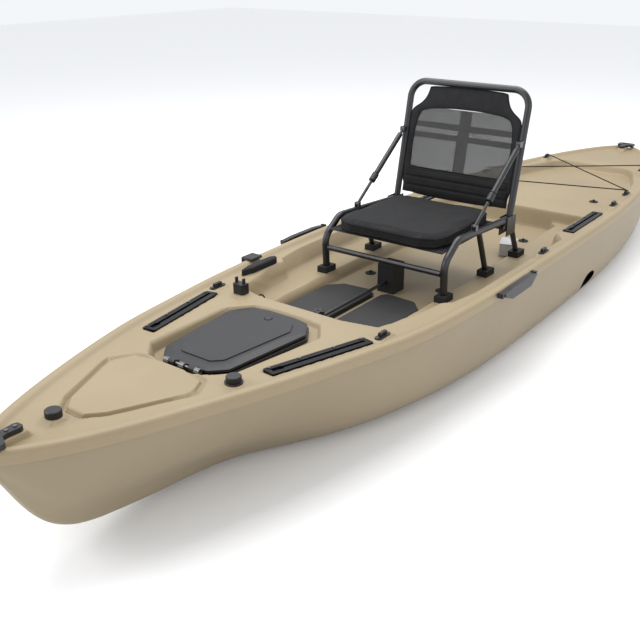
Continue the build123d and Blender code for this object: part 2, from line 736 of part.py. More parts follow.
def make_saddle(side):
    """Rounded clip that rides over the gunwale."""
    x = SADDLE_X
    top = seam_height(x) + CREST_RISE + 1.2
    outer = skirt_half(x) + 3.2
    cap = block(x - 28, x + 28, outer - 44, outer + 6, top, top + 9)
    cap = cap + block(x - 28, x + 28, outer, outer + 6, top - 26, top)
    cap = cap.chamfer(4.0, None, cap.edges().filter_by(Axis.X).sort_by(Axis.Z)[-2:])
    return cap if side > 0 else cap.mirror(Plane.XZ)


def side_handle_pin(side):
    """Middle of the pin line that a side handle swings on."""
    y = skirt_half(SIDE_HANDLE_X) + 14.6
    return side * y, seam_height(SIDE_HANDLE_X) + 2.0


def make_side_handle(side):
    """Lens-shaped grip that hangs beside the gunwale on two end pins."""
    y, z = side_handle_pin(side)
    x = SIDE_HANDLE_X
    reach = SIDE_HANDLE_LENGTH / 2
    outline = [(x - reach, z + 5), (x - reach * 0.55, z + 9), (x + reach * 0.55, z + 9), (x + reach, z + 5),
               (x + reach, z - 7), (x + reach * 0.72, z - SIDE_HANDLE_DEEP), (x - reach * 0.5, z - SIDE_HANDLE_DEEP),
               (x - reach, z - 7)]
    wire = rounded_wire([(px, pz) for px, pz in outline], 0, 7.0)
    grip = Solid.extrude(Face(wire), Vector(0, 0, SIDE_HANDLE_THICK))
    grip = grip.moved(Location((0, y + SIDE_HANDLE_THICK / 2, 0), (90, 0, 0)))
    return grip - cylinder_between((x - 200, y, z), (x + 200, y, z), SIDE_PIN_R + PIN_GAP)


def make_side_handle_mounts(side):
    """Lugs on the skirt at both ends of a side handle, with their pins."""
    y, z = side_handle_pin(side)
    wall = skirt_half(SIDE_HANDLE_X) * side + side * 1.2
    mounts = []
    for end in (-1, 1):
        x = SIDE_HANDLE_X + end * (SIDE_HANDLE_LENGTH / 2 + 8)
        ys = sorted((wall, y + side * 7))
        lug = block(x - 6.5, x + 6.5, ys[0], ys[1], z - 8, z + 8)
        pin = cylinder_between((x, y, z), (x - end * 26, y, z), SIDE_PIN_R)
        mounts.append(lug + pin)
    return mounts


def make_side_grip():
    """Fixed finger grip on the starboard deck beside the foot well."""
    low = boss_top(GRIP_X)
    reach = GRIP_LENGTH / 2
    outline = [(-reach, -4), (-reach * 0.5, -GRIP_WIDTH / 2), (reach * 0.8, -GRIP_WIDTH / 2), (reach, -6),
               (reach, 6), (reach * 0.8, GRIP_WIDTH / 2), (-reach * 0.5, GRIP_WIDTH / 2), (-reach, 4)]
    grip = prism([(GRIP_X + x, GRIP_Y + y) for x, y in outline], low, low + GRIP_RISE, 8.0)
    upper = grip.edges().group_by(Axis.Z)[-1]
    return grip.chamfer(4.0, None, upper)


def make_paddle_clip():
    """Block with two upright prongs that holds a paddle shaft."""
    low = boss_top(CLIP_X)
    body = block(-15, 15, -22, 22, low, low + 34)
    for y in (-18, 12):
        body = body + block(-5, 5, y, y + 6, low + 34, low + 52)
    body = body.chamfer(5.0, None, body.edges().filter_by(Axis.Z).sort_by(Axis.X)[:2])
    return body.moved(Location((CLIP_X, CLIP_Y, 0)))


# ---------------------------------------------------------------- foot well
PAD_FRONT_X = -862.0
PAD_REAR_X = -525.0
PAD_IN = 16.0
PAD_OUT = 192.0
PAD_THICK = 13.0
TRAY_THICK = 3.0
ROD_Z = 244.0
ROD_R = 6.0
ROD_FRONT_X = -886.0
BOX_FRONT_X = -492.0
BOX_REAR_X = -422.0


def pad_corners(side, margin):
    """Foot pad outline on one side of the centre rod."""
    points = [(PAD_FRONT_X - margin, PAD_IN + 12 - margin), (PAD_FRONT_X - 16 - margin, 90.0),
              (PAD_FRONT_X + 20 - margin, PAD_OUT + margin), (PAD_REAR_X - 60, PAD_OUT + margin),
              (PAD_REAR_X - 8 + margin, PAD_OUT - 46), (PAD_REAR_X + margin, PAD_IN + 18 - margin),
              (PAD_REAR_X - 26, PAD_IN - margin), (PAD_FRONT_X + 30, PAD_IN - margin)]
    return [(x, side * y) for x, y in points]


def make_foot_tray(side):
    return prism(pad_corners(side, 5.0), WELL_FLOOR, WELL_FLOOR + TRAY_THICK, 14.0)


def make_foot_pad(side):
    low = WELL_FLOOR + TRAY_THICK
    pad = prism(pad_corners(side, 0.0), low, low + PAD_THICK, 14.0)
    return pad.chamfer(3.0, None, pad.edges().group_by(Axis.Z)[-1])


def make_centre_rod():
    return cylinder_between((ROD_FRONT_X, 0, ROD_Z), (BOX_FRONT_X + 20, 0, ROD_Z), ROD_R)


def make_rod_bracket():
    """Hollow post under the front crossbar that the rod slides into."""
    body = block(BOX_FRONT_X, BOX_REAR_X, -34, 34, WELL_FLOOR, CROSSBAR_Z - CROSSBAR_D / 2 - 14)
    body = body - block(BOX_FRONT_X + 5, BOX_REAR_X - 5, -29, 29, WELL_FLOOR + 5, 400)
    return body - cylinder_between((BOX_FRONT_X - 5, 0, ROD_Z), (BOX_FRONT_X + 30, 0, ROD_Z), ROD_R + FIT)


def make_rod_stand():
    """Stand for the front of the rod, with a threaded stud for its knob."""
    x = ROD_FRONT_X - 2
    post = block(x - 10, x + 14, -12, 12, WELL_FLOOR, ROD_Z + 12)
    post = post - cylinder_between((ROD_FRONT_X, 0, ROD_Z), (ROD_FRONT_X + 60, 0, ROD_Z), ROD_R + FIT)
    return post + Solid.make_cylinder(4.0, 14, Plane((x + 2, 0, ROD_Z + 12)))


def make_star_knob():
    """Five-lobed knob that clamps the rod."""
    x = ROD_FRONT_X
    low = ROD_Z + 12 + FIT
    knob = Solid.make_cylinder(13, 16, Plane((x, 0, low)))
    for index in range(5):
        angle = 2 * math.pi * index / 5
        lobe = Solid.make_cylinder(7, 16, Plane((x + 15 * math.cos(angle), 15 * math.sin(angle), low)))
        knob = knob + lobe
    return knob - Solid.make_cylinder(4.0 + PIN_GAP, 40, Plane((x, 0, low - 5)))


def make_cord_loop(side):
    """Small arch of elastic cord with both ends let into the ledge."""
    x, y = -905.0, side * 228.0
    rise = 34.0
    half = 30.0
    points = [(x - half, y, LEDGE_FLOOR + 0.3), (x - half, y, LEDGE_FLOOR + rise),
              (x + half, y, LEDGE_FLOOR + rise), (x + half, y, LEDGE_FLOOR + 0.3)]
    return tube_along(points, [28.0, 28.0], CORD_D / 2)


# ---------------------------------------------------------------- stern pieces
def make_scupper_plugs():
    """Tapered plugs in the floor ends of the scupper tubes."""
    plugs = []
    for x, y in scupper_places():
        low = scupper_floor(x) + 1
        flange = Solid.make_cylinder(SCUPPER_HOLE_R + 5, 3.0, Plane((x, y, low)))
        stem = Solid.make_cylinder(SCUPPER_HOLE_R - FIT, 26.0, Plane((x, y, low - 26)))
        ring = Solid.make_cylinder(5.0, 8.0, Plane((x, y, low + 3)))
        plugs.append(flange + stem + ring)
    return Compound(plugs)


BIN_X = 150.0
BIN_Y = -165.0


def make_tackle_box():
    """Small light grey box that stands in the bay behind the seat."""
    outer = block(-42, 42, -30, 30, 0, 48)
    return (outer - block(-38, 38, -26, 26, 3, 60)).moved(Location((BIN_X, BIN_Y, WELL_FLOOR), (0, 0, 18)))


def make_tackle_lid():
    lid = block(-44, 44, -32, 32, 48, 52)
    return lid.moved(Location((BIN_X, BIN_Y, WELL_FLOOR), (0, 0, 18)))


# ---------------------------------------------------------------- seat
def rail_z(x):
    t = (x - RAIL_FRONT_X) / (RAIL_REAR_X - RAIL_FRONT_X)
    return RAIL_FRONT_Z + (RAIL_REAR_Z - RAIL_FRONT_Z) * t


def make_seat_frame(side):
    """Front leg and side rail, one bent tube."""
    y = side * SEAT_HALF
    low, knee = leg_line(FRONT_FOOT_X, side)
    points = [low, knee,
              (RAIL_FRONT_X, y, RAIL_FRONT_Z), (RAIL_REAR_X, y, RAIL_REAR_Z)]
    return tube_along(points, [58.0, 52.0], TUBE_D / 2)


def make_middle_leg(side):
    """Leg from the middle of the rail back to its foot."""
    y = side * SEAT_HALF
    low, high = leg_line(MIDDLE_FOOT_X, side)
    leg = cylinder_between(high, low, LEG_R)
    rail = cylinder_between((RAIL_FRONT_X, y, rail_z(RAIL_FRONT_X)), (RAIL_REAR_X, y, rail_z(RAIL_REAR_X)),
                            TUBE_D / 2 + 0.15)
    return leg - rail


def make_rear_leg(side):
    """Leg from the back hinge plates down to the rear foot."""
    low, high = leg_line(REAR_FOOT_X, side)
    return cylinder_between(high, low, LEG_R)


def leg_line(x, side):
    """Foot end and upper end of the leg whose foot is at x."""
    y = side * SEAT_HALF
    low = LEDGE_FLOOR + 8.0
    if x == FRONT_FOOT_X:
        return (x, y, low), (x - 8.0, y, 372.0)
    if x == MIDDLE_FOOT_X:
        return (x, y, low), (x - 78.0, y, rail_z(x - 78.0) - 4)
    return (x, y, low), (HOOP_PIVOT_X + 22, y, HOOP_PIVOT_Z - 30)


def make_seat_feet():
    """Rubber feet that the legs stand in."""
    feet = []
    for side in (-1, 1):
        y = side * SEAT_HALF
        for x, radius in ((FRONT_FOOT_X, TUBE_D / 2), (MIDDLE_FOOT_X, LEG_R), (REAR_FOOT_X, LEG_R)):
            foot = block(x - 30, x + 30, y - 20, y + 20, LEDGE_FLOOR, LEDGE_FLOOR + FOOT_HEIGHT)
            low, high = leg_line(x, side)
            reach = (Vector(*high) - Vector(*low)).normalized()
            start = Vector(*low) - reach * 0.3
            socket = cylinder_between(tuple(start), tuple(start + reach * 60), radius + FIT)
            feet.append(foot - socket)
    return Compound(feet)


def make_front_crossbar():
    """Bar between the front legs."""
    x = FRONT_FOOT_X - 5.0
    half = SEAT_HALF - TUBE_D / 2 - 0.15
    return cylinder_between((x, -half, CROSSBAR_Z), (x, half, CROSSBAR_Z), CROSSBAR_D / 2)


def make_rear_crossbar():
    """Bar slung under the rails near the back."""
    x = REAR_BAR_X
    z = rail_z(x) - TUBE_D / 2 - REAR_BAR_R - FIT
    half = SEAT_HALF + TUBE_D / 2
    return cylinder_between((x, -half, z), (x, half, z), REAR_BAR_R)


def make_sling():
    """Taut base cloth under the cushion, between the rails."""
    half = SEAT_HALF - TUBE_D / 2 - 0.5
    return block(CUSHION_FRONT_X + 20, CUSHION_REAR_X - 4, -half, half, CUSHION_LOW - FIT - SLING_THICK,
                 CUSHION_LOW - FIT)


def make_cushion():
    """Plain body of the seat cushion; it narrows a little towards the front."""
    points = mirrored([(CUSHION_FRONT_X, 150.0), (CUSHION_FRONT_X + 26, 205.0), (CUSHION_FRONT_X + 90, CUSHION_HALF),
                       (CUSHION_REAR_X - 40, CUSHION_HALF - 14), (CUSHION_REAR_X, CUSHION_HALF - 50)])
    return prism(points, CUSHION_LOW, CUSHION_LOW + CUSHION_THICK, 30.0)


def in_hoop(shape):
    """Stand a piece modelled upright at the back hinge into its lean."""
    return shape.moved(Location((HOOP_PIVOT_X, 0, HOOP_PIVOT_Z), (0, HOOP_LEAN, 0)))


def make_hoop():
    """Bent tube round the backrest, on two hinge pins."""
    half = SEAT_HALF
    points = [(0, -half, -2), (0, -half, HOOP_HEIGHT), (0, half, HOOP_HEIGHT), (0, half, -2)]
    tube = tube_along(points, [HOOP_CORNER, HOOP_CORNER], HOOP_D / 2)
    holes = cylinder_between((0, -half - 30, 4), (0, half + 30, 4), 4.0 + PIN_GAP)
    return in_hoop(tube - holes)


def hinge_centre():
    lean = math.radians(HOOP_LEAN)
    return HOOP_PIVOT_X + 4 * math.sin(lean), HOOP_PIVOT_Z + 4 * math.cos(lean)


def make_hinge_plates():
    """Plates either side of each rail end that carry the backrest pins and the rear legs."""
    x, z = hinge_centre()
    plates = []
    for side in (-1, 1):
        for face in (-1, 1):
            y = side * SEAT_HALF + face * (TUBE_D / 2 + 0.25 + 1.5)
            plate = block(x - 46, x + 24, y - 1.5, y + 1.5, z - 58, z + 12)
            plates.append(plate - cylinder_between((x, y - 9, z), (x, y + 9, z), 4.0))
    return Compound(plates)


def make_hinge_pins():
    x, z = hinge_centre()
    pins = []
    reach = TUBE_D / 2 + 5.5
    for side in (-1, 1):
        y = side * SEAT_HALF
        pins.append(cylinder_between((x, y - reach, z), (x, y + reach, z), 4.0))
    return Compound(pins)


def back_panel(low, high, half, front, thick, corner):
    """Flat panel in the plane of the hoop."""
    wire = rounded_wire([(-half, low), (half, low), (half, high), (-half, high)], 0, corner)
    panel = Solid.extrude(Face(wire), Vector(0, 0, thick))
    return in_hoop(panel.moved(Plane.YZ.location).moved(Location((front, 0, 0))))


def make_back_straps():
    """Load webbing behind the mesh: two across, one upright."""
    reach = SEAT_HALF - HOOP_D / 2 - 0.6
    straps = []
    for height in (MESH_LOW + 118, MESH_LOW + 158):
        straps.append(in_hoop(block(9, 11, -reach, reach, height, height + 22)))
    straps.append(in_hoop(block(11.4, 13.4, -24, 24, MESH_LOW - 20, MESH_HIGH + 14)))
    return Compound(straps)


# ---------------------------------------------------------------- recline struts
def strut_ends():
    """Lower and upper eye of a strut, in the X-Z plane."""
    lean = math.radians(HOOP_LEAN)
    foot = (STRUT_FOOT_X, rail_z(STRUT_FOOT_X) + TUBE_D / 2 + 9.0)
    top = (HOOP_PIVOT_X + STRUT_TOP * math.sin(lean) - STRUT_STAND * math.cos(lean),
           HOOP_PIVOT_Z + STRUT_TOP * math.cos(lean) + STRUT_STAND * math.sin(lean))
    return foot, top


def strut_point(share):
    foot, top = strut_ends()
    return foot[0] + (top[0] - foot[0]) * share, foot[1] + (top[1] - foot[1]) * share


def make_strut_rod(side):
    """Lower rod of a telescopic strut, with an eye at the foot."""
    y = side * SEAT_HALF
    foot = strut_point(0.0)
    end = strut_point(0.86)
    rod = cylinder_between((foot[0], y, foot[1]), (end[0], y, end[1]), STRUT_ROD_D / 2)
    eye = cylinder_between((foot[0], y - 5, foot[1]), (foot[0], y + 5, foot[1]), 8.0)
    hole = cylinder_between((foot[0], y - 9, foot[1]), (foot[0], y + 9, foot[1]), 3.0 + PIN_GAP)
    return rod + eye - hole


def make_strut_sleeve(side):
    """Sliding tube with the eye that meets the backrest."""
    y = side * SEAT_HALF
    low = strut_point(STRUT_SPLIT)
    high = strut_point(0.93)
    top = strut_point(1.0)
    sleeve = cylinder_between((low[0], y, low[1]), (high[0], y, high[1]), STRUT_SLEEVE_D / 2)
    neck = cylinder_between((high[0], y, high[1]), (top[0], y, top[1]), 5.0)
    eye = cylinder_between((top[0], y - 4, top[1]), (top[0], y + 4, top[1]), 9.0)
    bore_end = strut_point(0.90)
    bore_start = strut_point(STRUT_SPLIT - 0.05)
    bore = cylinder_between((bore_start[0], y, bore_start[1]), (bore_end[0], y, bore_end[1]), STRUT_ROD_D / 2 + FIT)
    hole = cylinder_between((top[0], y - 9, top[1]), (top[0], y + 9, top[1]), 5.5)
    return sleeve + neck + eye - bore - hole


def make_strut_clamp(side):
    """Collar at the mouth of the sleeve, with a push button."""
    y = side * SEAT_HALF
    low = strut_point(STRUT_SPLIT - 0.012)
    start = strut_point(STRUT_SPLIT - 0.10)
    collar = cylinder_between((start[0], y, start[1]), (low[0], y, low[1]), 13.0)
    bore = cylinder_between((strut_point(STRUT_SPLIT - 0.2)[0], y, strut_point(STRUT_SPLIT - 0.2)[1]),
                            (strut_point(STRUT_SPLIT + 0.1)[0], y, strut_point(STRUT_SPLIT + 0.1)[1]),
                            STRUT_ROD_D / 2 + FIT)
    return collar - bore


def make_strut_feet():
    """Lugs on the rails with the pins of the struts."""
    foot = strut_point(0.0)
    lugs = []
    for side in (-1, 1):
        y = side * SEAT_HALF
        base = rail_z(foot[0]) + TUBE_D / 2
        for face in (-1, 1):
            centre = y + face * 8.0
            lugs.append(block(foot[0] - 8, foot[0] + 8, centre - 1.5, centre + 1.5, base - 6, foot[1] + 7))
        lugs.append(cylinder_between((foot[0], y - 9.5, foot[1]), (foot[0], y + 9.5, foot[1]), 3.0))
    rails = [cylinder_between((RAIL_FRONT_X, side * SEAT_HALF, rail_z(RAIL_FRONT_X)),
                              (RAIL_REAR_X, side * SEAT_HALF, rail_z(RAIL_REAR_X)), TUBE_D / 2 + 0.15)
             for side in (-1, 1)]
    port = lugs[0].fuse(*lugs[1:3]).cut(rails[0])
    starboard = lugs[3].fuse(*lugs[4:6]).cut(rails[1])
    return Compound([port, starboard])


def make_strut_tops():
    """Clevis plates on the front of the hoop, with pins loose in the strut eyes."""
    top = strut_point(1.0)
    tops = []
    hoop = make_hoop_bars()
    for index, side in enumerate((-1, 1)):
        y = side * SEAT_HALF
        pieces = []
        for face in (-1, 1):
            centre = y + face * 7.5
            pieces.append(block(top[0] - 9, top[0] + 24, centre - 1.5, centre + 1.5, top[1] - 10, top[1] + 10))
        pieces.append(cylinder_between((top[0], y - 9, top[1]), (top[0], y + 9, top[1]), 3.0))
        tops.append(pieces[0].fuse(*pieces[1:]).cut(hoop[index]))
    return Compound(tops)


def make_hoop_bars():
    """The straight sides of the hoop, a hair larger, to shape what clasps them."""
    bars = []
    for side in (-1, 1):
        bar = cylinder_between((0, side * SEAT_HALF, 0), (0, side * SEAT_HALF, HOOP_HEIGHT), HOOP_D / 2 + 0.15)
        bars.append(in_hoop(bar))
    return bars


def build_all():
    """Every node by name."""
    nodes = {
        "hull_shell": make_hull, "deck_bow": lambda: deck_part(-1.1 * HALF_LENGTH, BOW_SPLIT_X),
        "deck_cockpit": lambda: deck_part(BOW_SPLIT_X, STERN_SPLIT_X),
        "deck_stern": lambda: deck_part(STERN_SPLIT_X, 1.1 * HALF_LENGTH), "scupper_plugs": make_scupper_plugs,
        "drain_cap": make_cap, "deck_knob": make_deck_knob, "deck_knob_base": make_deck_knob_base,
        "bow_handle": lambda: make_end_handle(BOW_TAIL_X, -HALF_LENGTH),
        "stern_handle": lambda: make_end_handle(STERN_TAIL_X, HALF_LENGTH),
        "hatch_frame": make_hatch_frame, "hatch_gasket": make_hatch_gasket, "hatch_lid": make_hatch_lid,
        "hatch_lid_mat": make_hatch_mat, "hatch_hinge": lambda: Compound([make_hinge_bar()] + make_hinge_blocks()),
        "hatch_button": make_hatch_button,
        "front_tracks": lambda: Compound([make_track("front", -1), make_track("front", 1)]),
        "rear_tracks": lambda: Compound([make_track("rear", -1), make_track("rear", 1)]),
        "deck_screws": make_deck_screws,
        "pad_eyes": lambda: Compound([make_pad_eye(x, y) for x, y in pad_eye_places()]),
        "rear_bungees": make_bungees,
        "gunwale_saddle": lambda: make_saddle(1), "side_grip": make_side_grip, "paddle_clip": make_paddle_clip,
        "side_handle_port": lambda: make_side_handle(-1), "side_handle_starboard": lambda: make_side_handle(1),
        "side_handle_mounts": lambda: Compound(make_side_handle_mounts(-1) + make_side_handle_mounts(1)),
        "foot_trays": lambda: Compound([make_foot_tray(-1), make_foot_tray(1)]),
        "foot_pad_port": lambda: make_foot_pad(-1), "foot_pad_starboard": lambda: make_foot_pad(1),
        "centre_rod": make_centre_rod, "rod_stand": make_rod_stand, "rod_bracket": make_rod_bracket,
        "rod_knob": make_star_knob,
        "cord_loops": lambda: Compound([make_cord_loop(-1), make_cord_loop(1)]),
        "tackle_box": make_tackle_box, "tackle_box_lid": make_tackle_lid,
        "seat_side_frames": lambda: Compound([make_seat_frame(-1), make_seat_frame(1)]),
        "seat_middle_legs": lambda: Compound([make_middle_leg(-1), make_middle_leg(1)]),
        "seat_rear_legs": lambda: Compound([make_rear_leg(-1), make_rear_leg(1)]),
        "seat_feet": make_seat_feet,
        "seat_crossbars": lambda: Compound([make_front_crossbar(), make_rear_crossbar()]),
        "seat_sling": make_sling, "seat_cushion": make_cushion,
        "back_hoop": make_hoop, "back_hinge_plates": make_hinge_plates, "back_hinge_pins": make_hinge_pins,
        "back_straps": make_back_straps,
        "strut_rod_port": lambda: make_strut_rod(-1), "strut_rod_starboard": lambda: make_strut_rod(1),
        "strut_sleeve_port": lambda: make_strut_sleeve(-1), "strut_sleeve_starboard": lambda: make_strut_sleeve(1),
        "strut_clamp_port": lambda: make_strut_clamp(-1), "strut_clamp_starboard": lambda: make_strut_clamp(1),
        "strut_foot_lugs": make_strut_feet, "strut_top_lugs": make_strut_tops,
        "back_mesh": lambda: back_panel(MESH_LOW, MESH_HIGH, SEAT_HALF - HOOP_D / 2 - 0.5, -1.5, 3.0, 24.0),
        "back_lumbar": lambda: back_panel(32, MESH_LOW - 0.4, SEAT_HALF - HOOP_D / 2 - 0.5, -6.0, 10.0, 20.0),
        "back_top_panel": lambda: back_panel(MESH_HIGH + 0.4, HOOP_HEIGHT - HOOP_D / 2 - 0.4, 158.0, -4.0, 8.0, 12.0),
    }
    return nodes


if __name__ == "__main__":
    os.makedirs("parts", exist_ok=True)
    for name, make in build_all().items():
        export(make(), name)
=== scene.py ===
import bmesh
import bpy
import json
import math
import numpy as np
from mathutils import Matrix, Vector

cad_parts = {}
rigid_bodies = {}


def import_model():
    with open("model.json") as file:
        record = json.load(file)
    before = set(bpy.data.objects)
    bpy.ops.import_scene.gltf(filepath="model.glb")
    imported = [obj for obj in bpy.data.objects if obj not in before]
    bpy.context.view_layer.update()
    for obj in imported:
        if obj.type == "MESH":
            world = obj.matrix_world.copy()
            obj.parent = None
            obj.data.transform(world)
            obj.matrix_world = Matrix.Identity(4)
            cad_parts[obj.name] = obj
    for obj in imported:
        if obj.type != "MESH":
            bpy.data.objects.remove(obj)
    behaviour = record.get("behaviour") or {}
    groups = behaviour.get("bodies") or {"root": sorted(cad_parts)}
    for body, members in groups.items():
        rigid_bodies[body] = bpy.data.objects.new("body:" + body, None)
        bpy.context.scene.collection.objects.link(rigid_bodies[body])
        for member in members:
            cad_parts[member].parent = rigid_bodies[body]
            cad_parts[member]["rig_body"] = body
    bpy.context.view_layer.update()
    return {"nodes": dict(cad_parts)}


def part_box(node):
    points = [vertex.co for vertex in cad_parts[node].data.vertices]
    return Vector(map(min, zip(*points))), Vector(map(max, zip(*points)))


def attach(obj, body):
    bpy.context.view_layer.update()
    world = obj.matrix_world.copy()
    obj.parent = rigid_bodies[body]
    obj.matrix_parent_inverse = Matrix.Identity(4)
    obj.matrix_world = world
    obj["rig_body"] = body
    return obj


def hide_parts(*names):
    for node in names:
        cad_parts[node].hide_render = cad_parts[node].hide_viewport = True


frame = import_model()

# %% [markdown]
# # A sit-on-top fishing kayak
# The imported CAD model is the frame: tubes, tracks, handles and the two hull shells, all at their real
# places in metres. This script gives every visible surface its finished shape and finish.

nodes = frame["nodes"]
scene = bpy.context.scene

# %% [markdown]
# ## Writing finishes as sums
# A finish is a small network of shader nodes. Wiring it by hand takes many lines, so one class wraps
# a socket and gives it the arithmetic operators. A line such as 0.4 + 0.2 * grain then adds the Math
# nodes by itself. Finish holds one material with its main shader, and adds any other node.

# %% The socket class and the finish class
class Wire:
    """One output socket that can be used in sums."""

    def __init__(self, finish, socket):
        self.finish = finish
        self.socket = socket

    def math(self, operation, first, second=None):
        inputs = {0: first} if second is None else {0: first, 1: second}
        return self.finish.node("ShaderNodeMath", {"operation": operation}, inputs)

    def __add__(self, other):
        return self.math("ADD", self, other)

    def __radd__(self, other):
        return self.math("ADD", other, self)

    def __sub__(self, other):
        return self.math("SUBTRACT", self, other)

    def __rsub__(self, other):
        return self.math("SUBTRACT", other, self)

    def __mul__(self, other):
        return self.math("MULTIPLY", self, other)

    def __rmul__(self, other):
        return self.math("MULTIPLY", other, self)

    def __truediv__(self, other):
        return self.math("DIVIDE", self, other)

    def sine(self):
        return self.math("SINE", self)

    def size(self):
        return self.math("ABSOLUTE", self)


class Finish:
    """A material, its Principled shader and helpers for its patterns."""

    def __init__(self, name, color, roughness, metallic=0.0, specular=0.5, **fixed):
        self.material = bpy.data.materials.new(name)
        self.material.use_nodes = True
        self.tree = self.material.node_tree
        self.shader = self.tree.nodes["Principled BSDF"]
        self.shader.inputs["Base Color"].default_value = (*color, 1)
        self.shader.inputs["Roughness"].default_value = roughness
        self.shader.inputs["Metallic"].default_value = metallic
        self.shader.inputs["Specular IOR Level"].default_value = specular
        for socket, value in fixed.items():
            self.shader.inputs[socket.replace("_", " ")].default_value = value
        self.color = color

    def node(self, kind, settings, inputs, output=0):
        made = self.tree.nodes.new(kind)
        for key, value in settings.items():
            setattr(made, key, value)
        for key, value in inputs.items():
            if isinstance(value, Wire):
                self.tree.links.new(value.socket, made.inputs[key])
            else:
                made.inputs[key].default_value = value
        return Wire(self, made.outputs[output])

    def place(self, kind="Object"):
        """Where a point of the piece is."""
        return self.node("ShaderNodeTexCoord", {}, {}, kind)

    def axis(self, index, kind="Object"):
        return self.node("ShaderNodeSeparateXYZ", {}, {0: self.place(kind)}, index)

    def noise(self, scale, detail=3.0, rough=0.5, stretch=(1, 1, 1), kind="Object"):
        moved = self.node("ShaderNodeMapping", {}, {"Vector": self.place(kind), "Scale": stretch})
        return self.node("ShaderNodeTexNoise", {}, {"Vector": moved, "Scale": scale, "Detail": detail,
                                                    "Roughness": rough})

    def ramp(self, value, low, high, to_low=0.0, to_high=1.0):
        return self.node("ShaderNodeMapRange", {}, {"Value": value, "From Min": low, "From Max": high,
                                                    "To Min": to_low, "To Max": to_high})

    def mix(self, factor, first, second):
        return self.node("ShaderNodeMix", {"data_type": "RGBA"}, {0: factor, 6: first, 7: second}, 2)

    def tint(self, factor, other):
        """Base colour that turns into another colour where the factor is 1."""
        self.feed("Base Color", self.mix(factor, (*self.color, 1), (*other, 1)))

    def feed(self, socket, value):
        self.tree.links.new(value.socket, self.shader.inputs[socket])

    def bump(self, height, strength, distance):
        made = self.node("ShaderNodeBump", {}, {"Height": height, "Strength": strength, "Distance": distance})
        self.feed("Normal", made)


print("tools ready")

# %% [markdown]
# ## Moulded polyethylene
# Hull and deck are rotomoulded: powder melts against the inside of a steel mould. The skin comes out
# satin, with a very fine pebble, faint clouds where the powder flowed and a few paler rubbed edges.
# Noise at three sizes gives all of that, and the height goes through a Bump node.

# %% Hull and deck plastic
DECK_COLOR = (0.273, 0.213, 0.126)
# The hull colour is the deck's tan made a little darker: painted shade for the hull sides.
HULL_SHADED_COLOR = (0.250, 0.200, 0.127)


def moulded_plastic(name, color, pebble):
    finish = Finish(name, color, 0.46, specular=0.42)
    cloud = finish.noise(2.2, 4.0, 0.55)
    grain = finish.noise(420.0, 2.0, 0.6)
    scuff = finish.noise(9.0, 6.0, 0.7, (0.25, 1.0, 1.0))
    worn = finish.ramp(scuff, 0.60, 0.78)
    finish.tint(0.55 * finish.ramp(cloud, 0.35, 0.7) + 0.35 * worn, tuple(min(1.0, c * 1.13 + 0.012) for c in color))
    finish.feed("Roughness", 0.42 + 0.10 * cloud + 0.08 * grain + 0.06 * worn)
    finish.bump(grain + 0.6 * finish.noise(95.0, 2.0, 0.5), 0.22, pebble)
    return finish.material


deck_plastic = moulded_plastic("deck_plastic", DECK_COLOR, 0.0006)
hull_plastic = moulded_plastic("hull_plastic", HULL_SHADED_COLOR, 0.0004)
print("hull finishes", deck_plastic.name, hull_plastic.name)

# %% [markdown]
# ## Black fittings, tube and rubber
# The fittings are injection moulded nylon with a spark-eroded texture, the seat tubes are powder
# coated with a slight orange peel, and the plugs and feet are matt rubber. Each differs mostly in
# roughness and in the size of its bump, because all of them are nearly black.

# %% Black finishes
def black_nylon(name, color, roughness):
    finish = Finish(name, color, roughness, specular=0.45)
    fine = finish.noise(900.0, 2.0, 0.6)
    broad = finish.noise(14.0, 4.0, 0.6)
    finish.feed("Roughness", roughness - 0.05 + 0.08 * broad + 0.06 * fine)
    finish.tint(finish.ramp(broad, 0.45, 0.8) * 0.6, tuple(c * 1.5 + 0.002 for c in color))
    finish.bump(fine, 0.25, 0.0004)
    return finish.material


def powder_coat(name, color):
    finish = Finish(name, color, 0.36, specular=0.5, Coat_Weight=0.15, Coat_Roughness=0.25)
    peel = finish.noise(260.0, 2.0, 0.5)
    finish.feed("Roughness", 0.32 + 0.10 * peel)
    finish.bump(peel, 0.18, 0.0005)
    return finish.material


def soft_rubber(name, color):
    finish = Finish(name, color, 0.72, specular=0.3)
    dust = finish.noise(30.0, 5.0, 0.65)
    finish.tint(finish.ramp(dust, 0.5, 0.8) * 0.5, tuple(c * 1.6 + 0.003 for c in color))
    finish.feed("Roughness", 0.66 + 0.14 * dust)
    finish.bump(finish.noise(600.0, 2.0, 0.5), 0.2, 0.0004)
    return finish.material


black_plastic = black_nylon("black_plastic", (0.0085, 0.0085, 0.0095), 0.40)
lid_plastic = black_nylon("lid_plastic", (0.009, 0.009, 0.010), 0.44)
mat_plastic = black_nylon("mat_plastic", (0.016, 0.016, 0.017), 0.55)
pad_foam = black_nylon("pad_foam", (0.013, 0.013, 0.014), 0.60)
grey_plastic = black_nylon("grey_plastic", (0.42, 0.42, 0.41), 0.45)
coated_tube = powder_coat("coated_tube", (0.0075, 0.0075, 0.0085))
rubber = soft_rubber("rubber", (0.011, 0.011, 0.012))
print("black finishes", black_plastic.name, coated_tube.name, rubber.name)

# %% [markdown]
# ## Metal
# Screws are blackened stainless steel and the gear tracks are black anodised aluminium, drawn along
# their length, so the streaks of the brushing run one way.

# %% Metal finishes
def drawn_metal(name, color, roughness, streak):
    finish = Finish(name, color, roughness, metallic=0.9)
    lines = finish.noise(160.0, 3.0, 0.6, streak)
    finish.feed("Roughness", roughness - 0.06 + 0.16 * lines)
    finish.bump(lines, 0.12, 0.0002)
    return finish.material


